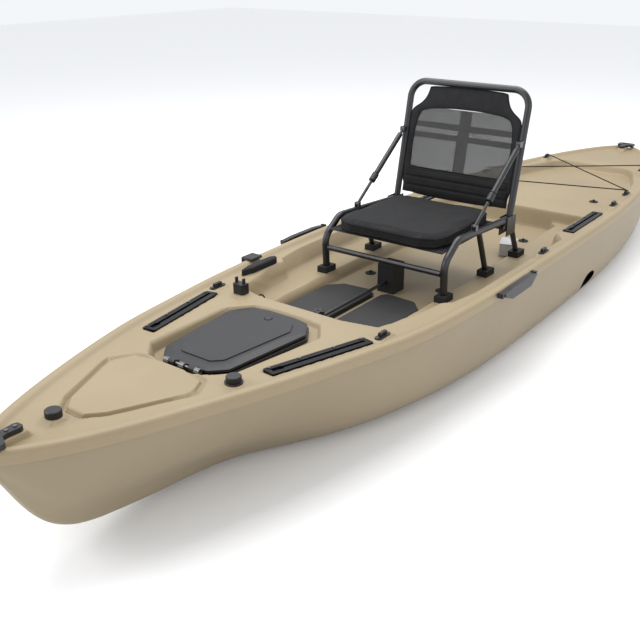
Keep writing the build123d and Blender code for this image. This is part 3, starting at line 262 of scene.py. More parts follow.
track_metal = drawn_metal("track_metal", (0.012, 0.012, 0.014), 0.42, (0.05, 1.0, 1.0))
dark_steel = drawn_metal("dark_steel", (0.16, 0.16, 0.165), 0.34, (1.0, 1.0, 1.0))
print("metal finishes", track_metal.name, dark_steel.name)

# %% [markdown]
# ## Cloth, mesh, webbing and cord
# The cushion cover is a tight plain weave: two sine waves at right angles, multiplied, lift the
# threads. The backrest is an open knitted mesh, so its holes use Alpha. Webbing and cord have ribs
# across their run.

# %% Cloth finishes
def woven_cloth(name, color, thread):
    finish = Finish(name, color, 0.86, specular=0.2, Sheen_Weight=0.04, Sheen_Roughness=0.5)
    count = 2 * math.pi / thread
    across = (finish.axis(0) * count).sine()
    along = (finish.axis(1) * count).sine()
    upright = (finish.axis(2) * count).sine()
    weave = across * along + along * upright
    mottled = finish.noise(28.0, 5.0, 0.6)
    fuzz = finish.noise(700.0, 2.0, 0.6)
    finish.tint(0.35 * weave.size() + 0.5 * finish.ramp(mottled, 0.4, 0.75), tuple(c * 1.7 + 0.003 for c in color))
    finish.feed("Roughness", 0.80 + 0.12 * fuzz)
    finish.bump(weave + 0.5 * fuzz, 0.35, 0.0006)
    return finish.material


def open_mesh(name, color, pitch, opening):
    finish = Finish(name, color, 0.78, specular=0.25)
    count = 2 * math.pi / pitch
    across = (finish.axis(1) * count).sine()
    upright = (finish.axis(2) * count).sine()
    threads = (across * upright).size()
    finish.feed("Alpha", 1.0 - finish.ramp(threads, opening, opening + 0.25))
    finish.tint(finish.noise(40.0, 4.0, 0.6) * 0.6, tuple(c * 1.5 + 0.01 for c in color))
    finish.bump(threads, 0.4, 0.0008)
    return finish.material


def ribbed_band(name, color, pitch, index):
    finish = Finish(name, color, 0.8, specular=0.25)
    ribs = (finish.axis(index) * (2 * math.pi / pitch)).sine()
    finish.tint(ribs * 0.3 + 0.3, tuple(c * 1.8 + 0.003 for c in color))
    finish.bump(ribs, 0.4, 0.0008)
    return finish.material


seat_cloth = woven_cloth("seat_cloth", (0.0070, 0.0070, 0.0075), 0.0024)
panel_cloth = woven_cloth("panel_cloth", (0.0125, 0.0125, 0.0135), 0.0020)
piping_cloth = woven_cloth("piping_cloth", (0.006, 0.006, 0.0065), 0.0016)
mesh_cloth = open_mesh("mesh_cloth", (0.048, 0.048, 0.046), 0.0042, 0.62)
webbing = ribbed_band("webbing", (0.014, 0.014, 0.015), 0.0022, 1)
cord_cover = ribbed_band("cord_cover", (0.006, 0.006, 0.007), 0.0030, 0)
print("cloth finishes", seat_cloth.name, mesh_cloth.name, webbing.name)

# %% [markdown]
# ## Rounding the CAD fittings
# Moulded parts have no sharp edges: each fitting's mesh is copied, its double points are merged, its
# flat faces joined, and every edge that turns more than a set angle gets a small rounded bevel. The
# copy stands for the CAD node, and the bevel catches the light as a real edge does.

# %% Helpers that finish a CAD node
def paint(obj, material):
    obj.data.materials.clear()
    obj.data.materials.append(material)


def settle(mesh, name, material, body, smooth=True):
    """Link a finished mesh as a piece on a body."""
    obj = bpy.data.objects.new(name, mesh)
    scene.collection.objects.link(obj)
    for polygon in mesh.polygons:
        polygon.use_smooth = smooth
    paint(obj, material)
    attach(obj, body)
    return obj


def home(node):
    """The body that a CAD node rides on."""
    return nodes[node]["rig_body"]


def round_edges(node, name, material, width, segments=2, turn=32.0):
    """Stand-in for a CAD node with its sharp edges rounded."""
    bm = bmesh.new()
    bm.from_mesh(nodes[node].data)
    bmesh.ops.remove_doubles(bm, verts=bm.verts, dist=0.00002)
    bmesh.ops.dissolve_limit(bm, angle_limit=math.radians(0.6), verts=bm.verts, edges=bm.edges)
    if width:
        sharp = [e for e in bm.edges if len(e.link_faces) == 2 and e.calc_face_angle(0.0) > math.radians(turn)]
        bmesh.ops.bevel(bm, geom=sharp, offset=width, offset_type="OFFSET", affect="EDGES", segments=segments,
                        profile=0.5, material=-1, clamp_overlap=True)
    mesh = bpy.data.meshes.new(name)
    bm.to_mesh(mesh)
    bm.free()
    piece = settle(mesh, name, material, home(node))
    mesh.set_sharp_from_angle(angle=math.radians(38.0))
    weights = piece.modifiers.new("even_normals", "WEIGHTED_NORMAL")
    weights.keep_sharp = True
    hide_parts(node)
    return piece


print("helpers ready")

# %% [markdown]
# ## The deck moulding
# Seen from above the deck is one skin that dips into wells and rises into a crest at the gunwale. It
# could be cut from a block, but rotomoulded corners are large and soft. So a fine grid is laid over
# the plan of the boat, and each point is lifted to the height of the skin there. Walls become smooth
# ramps over the distance to a well's outline, which rounds their top and bottom edges.

# %% Hull lines
HALF_LENGTH = 2.060
HALF_BEAM = 0.430
SHEER = 0.306
SKIRT_OUT = 0.0053
SKIRT_DROP = 0.026
CREST = 0.010
DECK_FLAT = -0.003
# share of the half length, share of the half breadth, rise of the seam
LINES = np.array([
    (-0.999, 0.035, 0.045), (-0.985, 0.100, 0.044), (-0.968, 0.160, 0.043), (-0.946, 0.225, 0.042),
    (-0.915, 0.300, 0.040), (-0.860, 0.410, 0.037), (-0.780, 0.545, 0.033), (-0.680, 0.690, 0.026),
    (-0.570, 0.810, 0.015), (-0.440, 0.925, 0.004), (-0.280, 0.985, 0.000), (-0.080, 1.000, -0.002),
    (0.120, 1.000, -0.008), (0.320, 0.975, -0.016), (0.500, 0.900, -0.024), (0.660, 0.770, -0.030),
    (0.800, 0.590, -0.032), (0.900, 0.400, -0.032), (0.960, 0.235, -0.031), (0.999, 0.050, -0.030)])


def along(column, x):
    """A hull line at x, smooth through the stations."""
    share = np.clip(np.asarray(x, float) / HALF_LENGTH, LINES[0, 0], LINES[-1, 0])
    index = np.clip(np.searchsorted(LINES[:, 0], share, side="right") - 1, 0, len(LINES) - 2)
    before = np.maximum(index - 1, 0)
    after = np.minimum(index + 2, len(LINES) - 1)
    low, high = LINES[index], LINES[index + 1]
    span = high[..., 0] - low[..., 0]
    t = (share - low[..., 0]) / span
    left = (high[..., column] - LINES[before, column]) / (high[..., 0] - LINES[before, 0]) * span
    right = (LINES[after, column] - low[..., column]) / (LINES[after, 0] - low[..., 0]) * span
    return ((2 * t**3 - 3 * t**2 + 1) * low[..., column] + (t**3 - 2 * t**2 + t) * left
            + (3 * t**2 - 2 * t**3) * high[..., column] + (t**3 - t**2) * right)


def half_breadth(x):
    return along(1, x) * HALF_BEAM


def seam(x):
    return SHEER + along(2, x)


print("half breadth amidships", round(float(half_breadth(0.0)), 3), "seam", round(float(seam(0.0)), 3))

# %% [markdown]
# ### Outlines of the wells
# Each well is a rounded polygon. The distance from a point to that outline, negative inside, is all
# that the ramps need.

# %% Signed distance to a rounded outline
def both_sides(points):
    """A full outline from its starboard half."""
    return points + [(x, -y) for x, y in reversed(points)]


def distance(outline, corner, x, y):
    """Distance to the outline, negative inside; corner is not used."""
    pts = np.array(outline)
    nxt = np.roll(pts, -1, axis=0)
    best = np.full(x.shape, 1e9)
    inside = np.zeros(x.shape, bool)
    for (ax, ay), (bx, by) in zip(pts, nxt):
        ex, ey = bx - ax, by - ay
        t = np.clip(((x - ax) * ex + (y - ay) * ey) / (ex * ex + ey * ey), 0, 1)
        best = np.minimum(best, np.hypot(x - ax - t * ex, y - ay - t * ey))
        crosses = (ay > y) != (by > y)
        with np.errstate(divide="ignore", invalid="ignore"):
            edge = ax + (y - ay) * ex / ey
        inside ^= crosses & (x < edge)
    return np.where(inside, -best, best)


def ramp(value, start, end):
    """0 before start, 1 after end, and smooth between."""
    t = np.clip((value - start) / (end - start), 0, 1)
    return t * t * t * (t * (6 * t - 15) + 10)


WELL = 0.204
LEDGE = 0.240
TANK = 0.232
HATCH = 0.296
PANEL_DIP = 0.009
COCKPIT_FRONT, COCKPIT_REAR = -0.968, 0.535
TANK_FRONT, TANK_REAR = 0.552, 1.560


def side_in(x, margin):
    return float(half_breadth(x)) - margin


panel_outline = both_sides([(-1.815, 0.029), (-1.775, 0.064), (-1.585, 0.150), (-1.525, 0.120), (-1.505, 0.040)])
recess_outline = both_sides([(-1.496, 0.0964), (-1.4404, 0.152), (-1.1136, 0.180), (-1.038, 0.1244), (-1.028, 0.050)])
opening_outline = both_sides([(-1.432, 0.058), (-1.402, 0.088), (-1.152, 0.116), (-1.102, 0.086), (-1.092, 0.05)])
ledge_outline = both_sides([
    (COCKPIT_FRONT, 0.150), (-0.943, 0.262), (-0.760, side_in(-0.760, 0.110)), (-0.664, side_in(-0.664, 0.106)),
    (-0.640, side_in(-0.640, 0.082)), (-0.520, side_in(-0.520, 0.068)), (0.180, side_in(0.180, 0.068)),
    (0.240, 0.314), (COCKPIT_REAR, 0.312)])
well_outline = both_sides([(-0.954, 0.120), (-0.908, 0.196), (-0.780, 0.208), (0.505, 0.208), (0.523, 0.180)])
tank_outline = both_sides([(TANK_FRONT, side_in(TANK_FRONT, 0.062)), (1.0, side_in(1.0, 0.062)),
                           (1.3, side_in(1.3, 0.064)), (1.5, side_in(TANK_REAR, 0.072)),
                           (TANK_REAR, side_in(TANK_REAR, 0.122))])
print("outlines ready")

# %% [markdown]
# ### Height of the skin
# The skin starts as the plain deck with its gunwale crest. Recesses are blended in from shallow to
# deep, then the small raised seats under the fittings.

# %% The height function
def crest_line(x, y):
    """Plain deck: flat inboard, a rounded crest, then down to the rub strip."""
    half = half_breadth(x) + SKIRT_OUT
    inboard = half - np.abs(y)
    crest_in = np.minimum(0.018, 0.30 * half)
    flat_in = np.minimum(0.052, 0.60 * half)
    rise = np.interp(np.clip(inboard / crest_in, 0, 1), [0, 0.08, 0.2, 0.4, 0.7, 1.0],
                     [0.0008, 0.0035, 0.0060, 0.0082, 0.0096, CREST])
    fall = ramp(inboard, crest_in, flat_in)
    return seam(x) + np.where(inboard < crest_in, rise, CREST + (DECK_FLAT - CREST) * fall)


def blend_to(height, target, share):
    return height + (target - height) * share


def deck_height(x, y):
    z = crest_line(x, y)
    plain = seam(x) + DECK_FLAT
    gap = distance(panel_outline, 0, x, y)
    groove = ramp(gap, -0.004, 0.004) * ramp(-gap, -0.019, -0.010)
    z = blend_to(z, seam(-1.525) + DECK_FLAT - PANEL_DIP, groove)
    hatch = distance(recess_outline, 0, x, y)
    z = blend_to(z, HATCH, ramp(-hatch, -0.006, 0.010))
    ledge = distance(ledge_outline, 0, x, y)
    z = blend_to(z, LEDGE, ramp(-ledge, -0.008, 0.013))
    well = distance(well_outline, 0, x, y)
    z = blend_to(z, WELL, ramp(-well, -0.009, 0.007))
    tank = distance(tank_outline, 0, x, y)
    z = blend_to(z, TANK, ramp(-tank, -0.009, 0.013))
    return z


print("deck height amidships", np.round(deck_height(np.array([0.0, 0.0, 0.0]), np.array([0.0, 0.3, 0.41])), 3))

# %% [markdown]
# ### Raised seats and track beds
# Fittings stand on small flats moulded a few millimetres above the deck, and the gear tracks lie in
# shallow beds. Both are rounded boxes, so one helper gives the distance to a turned box.

# %% Fitting seats and beds
def box_distance(x, y, middle, size, turn=0.0):
    """Distance to the edge of a turned box, negative inside."""
    c, s = math.cos(turn), math.sin(turn)
    u = (x - middle[0]) * c + (y - middle[1]) * s
    v = -(x - middle[0]) * s + (y - middle[1]) * c
    du, dv = np.abs(u) - size[0] / 2, np.abs(v) - size[1] / 2
    return np.hypot(np.maximum(du, 0), np.maximum(dv, 0)) + np.minimum(np.maximum(du, dv), 0)


BOSS = 0.001
EYE_SEAT = (0.070, 0.030)


def loose_parts(node):
    """The points of each loose part of a CAD node."""
    bm = bmesh.new()
    bm.from_mesh(nodes[node].data)
    bmesh.ops.remove_doubles(bm, verts=bm.verts, dist=0.00002)
    left = set(bm.verts)
    found = []
    while left:
        stack = [left.pop()]
        group = list(stack)
        while stack:
            for edge in stack.pop().link_edges:
                for vert in edge.verts:
                    if vert in left:
                        left.discard(vert)
                        stack.append(vert)
                        group.append(vert)
        found.append(np.array([v.co for v in group]))
    bm.free()
    return found


def boxes_of(node):
    """Middle, size and lowest z of each loose part of a CAD node."""
    return [((co.min(0) + co.max(0)) / 2, co.max(0) - co.min(0), co[:, 2].min()) for co in loose_parts(node)]


seats = [(m, EYE_SEAT, low, 0.0) for m, size, low in boxes_of("pad_eyes")]
for fitting, length, width in (("deck_knob_base", 0.054, 0.054), ("paddle_clip", 0.052, 0.056),
                               ("side_grip", 0.182, 0.036)):
    middle, size, low = boxes_of(fitting)[0]
    seats.append((middle, (length, width), low, 0.0))
for handle, tail in (("bow_handle", -1.985), ("stern_handle", 1.975)):
    seats.append(((tail, 0.0), (0.072, 0.034), float(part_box(handle)[0][2]), 0.0))
beds = []
for node, turn in (("front_tracks", 13.2), ("rear_tracks", -1.0)):
    for middle, size, low in boxes_of(node):
        side = 1 if middle[1] > 0 else -1
        beds.append((middle, (0.354, 0.048), float(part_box(node)[0][2]), math.radians(turn) * side))
cap_middle = boxes_of("drain_cap")[0]
print(len(seats), "seats,", len(beds), "beds, cap at", np.round(cap_middle[0], 3))


def skin_height(x, y):
    """The deck with its seats, beds and the cap's boss."""
    z = deck_height(x, y)
    for middle, size, low, turn in seats:
        gap = box_distance(x, y, middle, size, turn)
        z = blend_to(z, np.maximum(z, low - 0.0002), ramp(-gap, -0.006, 0.001))
    for middle, size, low, turn in beds:
        gap = box_distance(x, y, middle, size, turn)
        floor = seam(x) + DECK_FLAT - 0.0055
        z = blend_to(z, np.minimum(z, floor), ramp(-gap, -0.001, 0.003))
    ring = np.hypot(x - cap_middle[0][0], y)
    return blend_to(z, seam(x) + DECK_FLAT + 0.0098, ramp(-ring, -0.033, -0.026))


# %% [markdown]
# ### Laying the grid
# The rows and columns bunch up where walls are, so that a ramp spans several faces. Columns follow
# the well edge and the gunwale instead of straight lines, which keeps their edges clean.

# %% The deck grid
def bunched(start, end, step, fine, places, reach):
    """Positions from start to end with a fine step near the given places."""
    values = [start]
    while values[-1] < end:
        near = min(abs(values[-1] - p) for p in places)
        share = min(max((near - reach) / reach, 0.0), 1.0)
        values.append(values[-1] + fine + (step - fine) * share)
    values = np.array(values)
    return start + (values - start) * (end - start) / (values[-1] - start)


cross_walls = [-1.815, -1.775, -1.515, -1.496, -1.440, -1.06, -1.033, -0.968, -0.948, -0.760, -0.650, 0.240,
               0.514, 0.535, 0.552, 1.500, 1.560, -2.05, 2.05]
rows = bunched(-HALF_LENGTH * 0.9985, HALF_LENGTH * 0.9985, 0.0115, 0.0035, cross_walls, 0.022)
INNER = 34
MIDDLE = 20
OUTER = 24
inner_x = [-2.06, -1.815, -1.775, -1.585, -1.52, -1.48, -1.44, -1.11, -1.03, -0.97, -0.91, -0.78, 0.50, 0.56, 2.06]
inner_y = [0.020, 0.029, 0.064, 0.150, 0.120, 0.105, 0.152, 0.180, 0.150, 0.170, 0.196, 0.208, 0.208, 0.208, 0.208]
outer_x = [-2.06, -1.5, -0.97, -0.76, -0.66, -0.64, -0.52, 0.18, 0.24, 0.54, 0.58, 1.3, 1.5, 2.06]
outer_in = [0.052, 0.052, 0.115, 0.110, 0.106, 0.082, 0.068, 0.068, 0.112, 0.115, 0.062, 0.064, 0.072, 0.052]


def column_places(x):
    """Breadths of the columns at x, from the middle out to the skirt and down to its edge."""
    half = float(half_breadth(x)) + SKIRT_OUT
    outer = half - min(float(np.interp(x, outer_x, outer_in)), 0.55 * half)
    inner = min(float(np.interp(x, inner_x, inner_y)), outer * 0.72)
    inside = inner * (1 - np.linspace(1, 0, INNER) ** 1.6)
    t = np.linspace(0, 1, MIDDLE + 1)[1:]
    between = inner + (outer - inner) * (t + 0.10 * np.sin(2 * math.pi * t))
    t = np.linspace(0, 1, OUTER + 1)[1:]
    rim = outer + (half - outer) * (t + 0.06 * np.sin(2 * math.pi * t))
    return np.concatenate([inside, between, rim])


SKIRT_STEPS = np.array([0.004, 0.012, 0.020, 0.0245, 0.026])
SKIRT_INSET = np.array([0.0, 0.0, 0.0, 0.0006, 0.0022])
per_side = INNER + MIDDLE + OUTER + len(SKIRT_STEPS) + 1


def deck_points():
    """All grid points, row by row from port to starboard."""
    xs, ys, zs = [], [], []
    for x in rows:
        breadths = column_places(x)
        half = breadths[-1]
        flat_z = skin_height(np.full(len(breadths), x), breadths)
        flat_p = skin_height(np.full(len(breadths), x), -breadths)
        rim_z = float(seam(x)) + 0.001
        skirt_y = np.concatenate([half - SKIRT_INSET, [half - 0.0045]])
        skirt_z = np.concatenate([rim_z - SKIRT_STEPS - 0.001, [rim_z - 0.0262]])
        star_y = np.concatenate([breadths, skirt_y])
        star_z = np.concatenate([flat_z, skirt_z])
        port_z = np.concatenate([flat_p, skirt_z])
        ys.append(np.concatenate([-star_y[:0:-1], star_y]))
        zs.append(np.concatenate([port_z[:0:-1], star_z]))
        xs.append(np.full(len(ys[-1]), x))
    return np.array(xs), np.array(ys), np.array(zs)


def shift_grid(bm, xs, ys, zs):
    """Lift the points of a flat unit grid to their places."""
    count_x, count_y = xs.shape
    for vert in bm.verts:
        i = int(round((vert.co.x + 1) / 2 * (count_x - 1)))
        j = int(round((vert.co.y + 1) / 2 * (count_y - 1)))
        vert.co = (xs[i, j], ys[i, j], zs[i, j])


xs, ys, zs = deck_points()
bm = bmesh.new()
bmesh.ops.create_grid(bm, x_segments=xs.shape[0] - 1, y_segments=xs.shape[1] - 1, size=1.0)
shift_grid(bm, xs, ys, zs)
inside_hatch = [f for f in bm.faces
                if distance(opening_outline, 0, np.array([f.calc_center_median().x]),
                            np.array([f.calc_center_median().y]))[0] < -0.002
                and abs(f.calc_center_median().x + 1.26) < 0.2]
bmesh.ops.delete(bm, geom=inside_hatch, context="FACES")
mesh = bpy.data.meshes.new("deck_moulding")
bm.to_mesh(mesh)
bm.free()
deck = settle(mesh, "deck_moulding", deck_plastic, "hull")
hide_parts("deck_bow", "deck_cockpit", "deck_stern")
print("deck grid", xs.shape, "faces", len(mesh.polygons))

# %% [markdown]
# ## The hull
# The lower shell is a smooth displacement form. The CAD skin already has the right lines, so its mesh
# is copied, merged and shaded smooth.

# %% The hull skin
# The hull's finish is darker than the deck's by painted shade on its sides.
hull = round_edges("hull_shell", "hull_moulding", hull_plastic, 0.0)
print("hull faces", len(hull.data.polygons))

# %% [markdown]
# ## Fittings
# Every moulded or metal fitting keeps its CAD shape and gets rounded edges and its own finish.

# %% Finish the fittings
fittings = [
    ("bow_handle", black_plastic, "black_plastic", 0.0022), ("stern_handle", black_plastic, "black_plastic", 0.0022),
    ("drain_cap", black_plastic, "black_plastic", 0.0010), ("deck_knob", black_plastic, "black_plastic", 0.0012),
    ("deck_knob_base", black_plastic, "black_plastic", 0.0010), ("hatch_frame", black_plastic, "black_plastic", 0.0015),
    ("hatch_gasket", rubber, "black_rubber", 0.0008), ("hatch_hinge", dark_steel, "dark_steel", 0.0008),
    ("hatch_button", black_plastic, "black_plastic", 0.0008), ("pad_eyes", black_plastic, "black_plastic", 0.0012),
    ("front_tracks", track_metal, "track_metal", 0.0006), ("rear_tracks", track_metal, "track_metal", 0.0006),
    ("gunwale_saddle", black_plastic, "black_plastic", 0.0015), ("side_grip", rubber, "black_rubber", 0.0020),
    ("paddle_clip", black_plastic, "black_plastic", 0.0015), ("rod_bracket", black_plastic, "black_plastic", 0.0015),
    ("side_handle_port", black_plastic, "black_plastic", 0.0030),
    ("side_handle_starboard", black_plastic, "black_plastic", 0.0030),
    ("side_handle_mounts", black_plastic, "black_plastic", 0.0010), ("foot_trays", black_plastic, "black_plastic", 0.0008),
    ("rod_stand", black_plastic, "black_plastic", 0.0008), ("rod_knob", black_plastic, "black_plastic", 0.0012),
    ("centre_rod", coated_tube, "coated_tube", 0.0006), ("scupper_plugs", rubber, "black_rubber", 0.0008),
    ("tackle_box", grey_plastic, "grey_plastic", 0.0015), ("tackle_box_lid", grey_plastic, "grey_plastic", 0.0015),
    ("seat_side_frames", coated_tube, "coated_tube", 0.0006), ("seat_middle_legs", coated_tube, "coated_tube", 0.0005),
    ("seat_rear_legs", coated_tube, "coated_tube", 0.0005), ("seat_feet", rubber, "black_rubber", 0.0025),
    ("seat_crossbars", coated_tube, "coated_tube", 0.0005), ("back_hoop", coated_tube, "coated_tube", 0.0005),
    ("back_hinge_plates", coated_tube, "coated_tube", 0.0006), ("back_hinge_pins", dark_steel, "dark_steel", 0.0005),
    ("strut_rod_port", coated_tube, "coated_tube", 0.0005), ("strut_rod_starboard", coated_tube, "coated_tube", 0.0005),
    ("strut_sleeve_port", coated_tube, "coated_tube", 0.0005),
    ("strut_sleeve_starboard", coated_tube, "coated_tube", 0.0005),
    ("strut_clamp_port", black_plastic, "black_plastic", 0.0008),
    ("strut_clamp_starboard", black_plastic, "black_plastic", 0.0008),
    ("strut_foot_lugs", dark_steel, "dark_steel", 0.0004), ("strut_top_lugs", dark_steel, "dark_steel", 0.0004),
    ("hatch_lid", lid_plastic, "lid_plastic", 0.0030), ("hatch_lid_mat", mat_plastic, "foam_mat", 0.0012),
    ("foot_pad_port", pad_foam, "foam_mat", 0.0030), ("foot_pad_starboard", pad_foam, "foam_mat", 0.0030),
]
for node, material, slot, width in fittings:
    round_edges(node, node + "_finished", material, width)
print(len(fittings), "fittings finished")

# %% Screws keep their CAD mesh
paint(nodes["deck_screws"], dark_steel)

# %% [markdown]
# ## Seat cushion
# The cushion is a sewn cover stuffed with foam. Its plain body is shrunk a little, remeshed evenly and
# blown up by a short cloth run with pressure, so that the top crowns and the sides pull in between the
# corners. The underside stays flat, because it lies on the base cloth.

# %% Blow up a plain body
def blown_up(node, name, shrink, voxel, push, limit):
    """Mesh of a stuffed cover, started from a slightly smaller copy of a CAD node."""
    start = nodes[node].data.copy()
    co = np.array([v.co for v in start.vertices])
    middle = (co.min(0) + co.max(0)) / 2
    for vert in start.vertices:
        vert.co = Vector(middle + (np.array(vert.co) - middle) * shrink)
    obj = bpy.data.objects.new(name, start)
    scene.collection.objects.link(obj)
    even = obj.modifiers.new("even", "REMESH")
    even.mode = "VOXEL"
    even.voxel_size = voxel
    view = bpy.context.evaluated_depsgraph_get()
    mesh = bpy.data.meshes.new_from_object(obj.evaluated_get(view))
    obj.modifiers.clear()
    obj.data = mesh
    rest = np.array([v.co for v in mesh.vertices])
    cloth = obj.modifiers.new("cloth", "CLOTH")
    cloth.settings.quality = 5
    cloth.settings.use_pressure = True
    cloth.settings.uniform_pressure_force = push
    cloth.settings.tension_stiffness = 40
    cloth.settings.compression_stiffness = 40
    cloth.settings.effector_weights.gravity = 0
    cloth.point_cache.frame_start = 1
    cloth.point_cache.frame_end = 20
    for step in range(1, 21):
        scene.frame_set(step)
    view = bpy.context.evaluated_depsgraph_get()
    blown = bpy.data.meshes.new_from_object(obj.evaluated_get(view))
    moved = np.array([v.co for v in blown.vertices]) - rest
    reach = np.linalg.norm(moved, axis=1, keepdims=True)
    moved *= np.minimum(1.0, limit / np.maximum(reach, 1e-9))
    for vert, place in zip(mesh.vertices, rest + moved):
        vert.co = Vector(place)
    scene.frame_set(1)
    print(name, "moved up to", round(float(reach.max()) * 1000, 1), "mm")
    bpy.data.objects.remove(obj)
    return mesh


low, high = (np.array(corner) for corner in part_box("seat_cushion"))
mesh = blown_up("seat_cushion", "cushion_start", np.array([0.975, 0.975, 0.80]), 0.007, 4.0, 0.010)
for vert in mesh.vertices:
    vert.co.z = min(max(vert.co.z, low[2] + 0.0004), high[2] + 0.004)
cushion = settle(mesh, "seat_cushion_cover", seat_cloth, home("seat_cushion"))
finer = cushion.modifiers.new("finer", "SUBSURF")
finer.levels = finer.render_levels = 1
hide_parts("seat_cushion")
print("cushion faces", len(mesh.polygons))

# %% [markdown]
# ### Piping
# A cord is sewn into the seam round the top of the cushion. Its line is laid over the finished cover by
# looking for the nearest point of the cover.

# %% Tubes along a line, and the piping
def tube(points, radius, closed=False, sides=10):
    """Mesh of a round tube along points, with its ends capped."""
    pts = [Vector(p) for p in points]
    count = len(pts)
    bm = bmesh.new()
    rings = []
    side = None
    for i, point in enumerate(pts):
        before = pts[(i - 1) % count] if closed or i else pts[0]
        after = pts[(i + 1) % count] if closed or i < count - 1 else pts[-1]
        heading = (after - before).normalized()
        if side is None:
            side = heading.orthogonal().normalized()
        side = (side - heading * side.dot(heading)).normalized()
        other = heading.cross(side)
        rings.append([bm.verts.new(point + (side * math.cos(a) + other * math.sin(a)) * radius)
                      for a in (2 * math.pi * k / sides for k in range(sides))])
    for i in range(count if closed else count - 1):
        a, b = rings[i], rings[(i + 1) % count]
        shift = 0
        if closed and i == count - 1:
            shift = min(range(sides), key=lambda k: (a[0].co - b[k].co).length)
        for k in range(sides):
            bm.faces.new((a[k], a[(k + 1) % sides], b[(k + 1 + shift) % sides], b[(k + shift) % sides]))
    if not closed:
        bm.faces.new(rings[0][::-1])
        bm.faces.new(rings[-1])
    bmesh.ops.recalc_face_normals(bm, faces=bm.faces)
    mesh = bpy.data.meshes.new("tube")
    bm.to_mesh(mesh)
    bm.free()
    return mesh


def rounded(points, passes=3):
    """A closed line with its corners cut again and again, which rounds them."""
    pts = [np.array(p, float) for p in points]
    for _ in range(passes):
        pts = [q for a, b in zip(pts, pts[1:] + pts[:1]) for q in (a * 0.75 + b * 0.25, a * 0.25 + b * 0.75)]
    return pts


def spread(points, step, closed=True):
    """Points at an even step along a line."""
    pts = np.array(points + points[:1] if closed else points)
    run = np.concatenate([[0], np.cumsum(np.linalg.norm(np.diff(pts, axis=0), axis=1))])
    count = max(int(run[-1] / step), 4)
    places = np.linspace(0, run[-1], count + (0 if closed else 1), endpoint=not closed)
    return np.stack([np.interp(places, run, pts[:, k]) for k in range(pts.shape[1])], axis=1)


half = (high[1] - low[1]) / 2
outline = both_sides([(low[0], 0.150), (low[0] + 0.026, 0.205), (low[0] + 0.090, half),
                      (high[0] - 0.040, half - 0.014), (high[0], half - 0.050)])
bpy.context.view_layer.update()
for name, height in (("cushion_piping_top", high[2] - 0.004), ("cushion_piping_low", low[2] + 0.008)):
    line = []
    for x, y in spread(rounded(outline), 0.010):
        found, place, normal, face = cushion.closest_point_on_mesh(Vector((x, y, height)))
        line.append(place + normal * 0.0004)
    settle(tube(line, 0.0026, closed=True), name, piping_cloth, home("seat_cushion"))
print("piping laid")

# %% [markdown]
# ## Base cloth
# A taut sheet between the rails carries the cushion and sags a few millimetres in the middle.

# %% The sling
def curved_sheet(name, thick, place, cells):
    """Closed thin cloth: place turns (u, v) from -1 to 1 into a point of its middle surface."""
    bm = bmesh.new()
    bmesh.ops.create_grid(bm, x_segments=cells[0], y_segments=cells[1], size=1.0)
    for vert in bm.verts:
        vert.co = Vector(place(vert.co.x, vert.co.y))
    bmesh.ops.recalc_face_normals(bm, faces=bm.faces)
    bmesh.ops.solidify(bm, geom=bm.faces[:], thickness=thick)
    mesh = bpy.data.meshes.new(name)
    bm.to_mesh(mesh)
    bm.free()
    return mesh


low, high = (np.array(corner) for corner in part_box("seat_sling"))
sling_size = high - low


def sling_place(u, v):
    sag = 0.004 * (1 - u * u) * (1 - v * v)
    return (low[0] + sling_size[0] * (u + 1) / 2, low[1] + sling_size[1] * (v + 1) / 2, high[2] - 0.0012 - sag)


sling = settle(curved_sheet("base_cloth", 0.0012, sling_place, (30, 30)), "base_cloth", panel_cloth,
               home("seat_sling"))
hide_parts("seat_sling")
print("base cloth laid")

# %% [markdown]
# ## Backrest cover
# The backrest is one sewn cover inside the hoop: a padded border with a window of open mesh, two corner
# cut-outs for the hands and a stuffed band at the small of the back. Its shape is written in the plane
# of the hoop, which leans back, and then turned into place.

# %% The padded border
LEAN = math.radians(11.5)
PIVOT_X, PIVOT_Z = -0.042, 0.408


def in_hoop(aft, across, up):
    """A point of the hoop's plane in the row frame."""
    return Vector((PIVOT_X + aft * math.cos(LEAN) + up * math.sin(LEAN), across,
                   PIVOT_Z - aft * math.sin(LEAN) + up * math.cos(LEAN)))


cover_outline = both_sides([(0.029, 0.150), (0.042, 0.205), (0.075, 0.226), (0.120, 0.229), (0.330, 0.229),
                            (0.352, 0.222), (0.372, 0.190), (0.395, 0.170), (0.425, 0.160), (0.441, 0.158)])
window_outline = both_sides([(0.132, 0.198), (0.140, 0.205), (0.320, 0.205), (0.366, 0.165)])
WINDOW_MIDDLE = 0.249


def reach(outline, angle):
    """How far a ray from the window's middle runs to an outline of (up, across) points."""
    direction = np.array([math.sin(angle), math.cos(angle)])
    best = 0.0
    for a, b in zip(outline, outline[1:] + outline[:1]):
        a = np.array(a) - (WINDOW_MIDDLE, 0)
        edge = np.array(b) - (WINDOW_MIDDLE, 0) - a
        cross = direction[0] * edge[1] - direction[1] * edge[0]
        if abs(cross) > 1e-12:
            t = (a[0] * edge[1] - a[1] * edge[0]) / cross
            s = (a[0] * direction[1] - a[1] * direction[0]) / cross
            if t > 0 and -1e-9 <= s <= 1 + 1e-9:
                best = max(best, t)
    return best


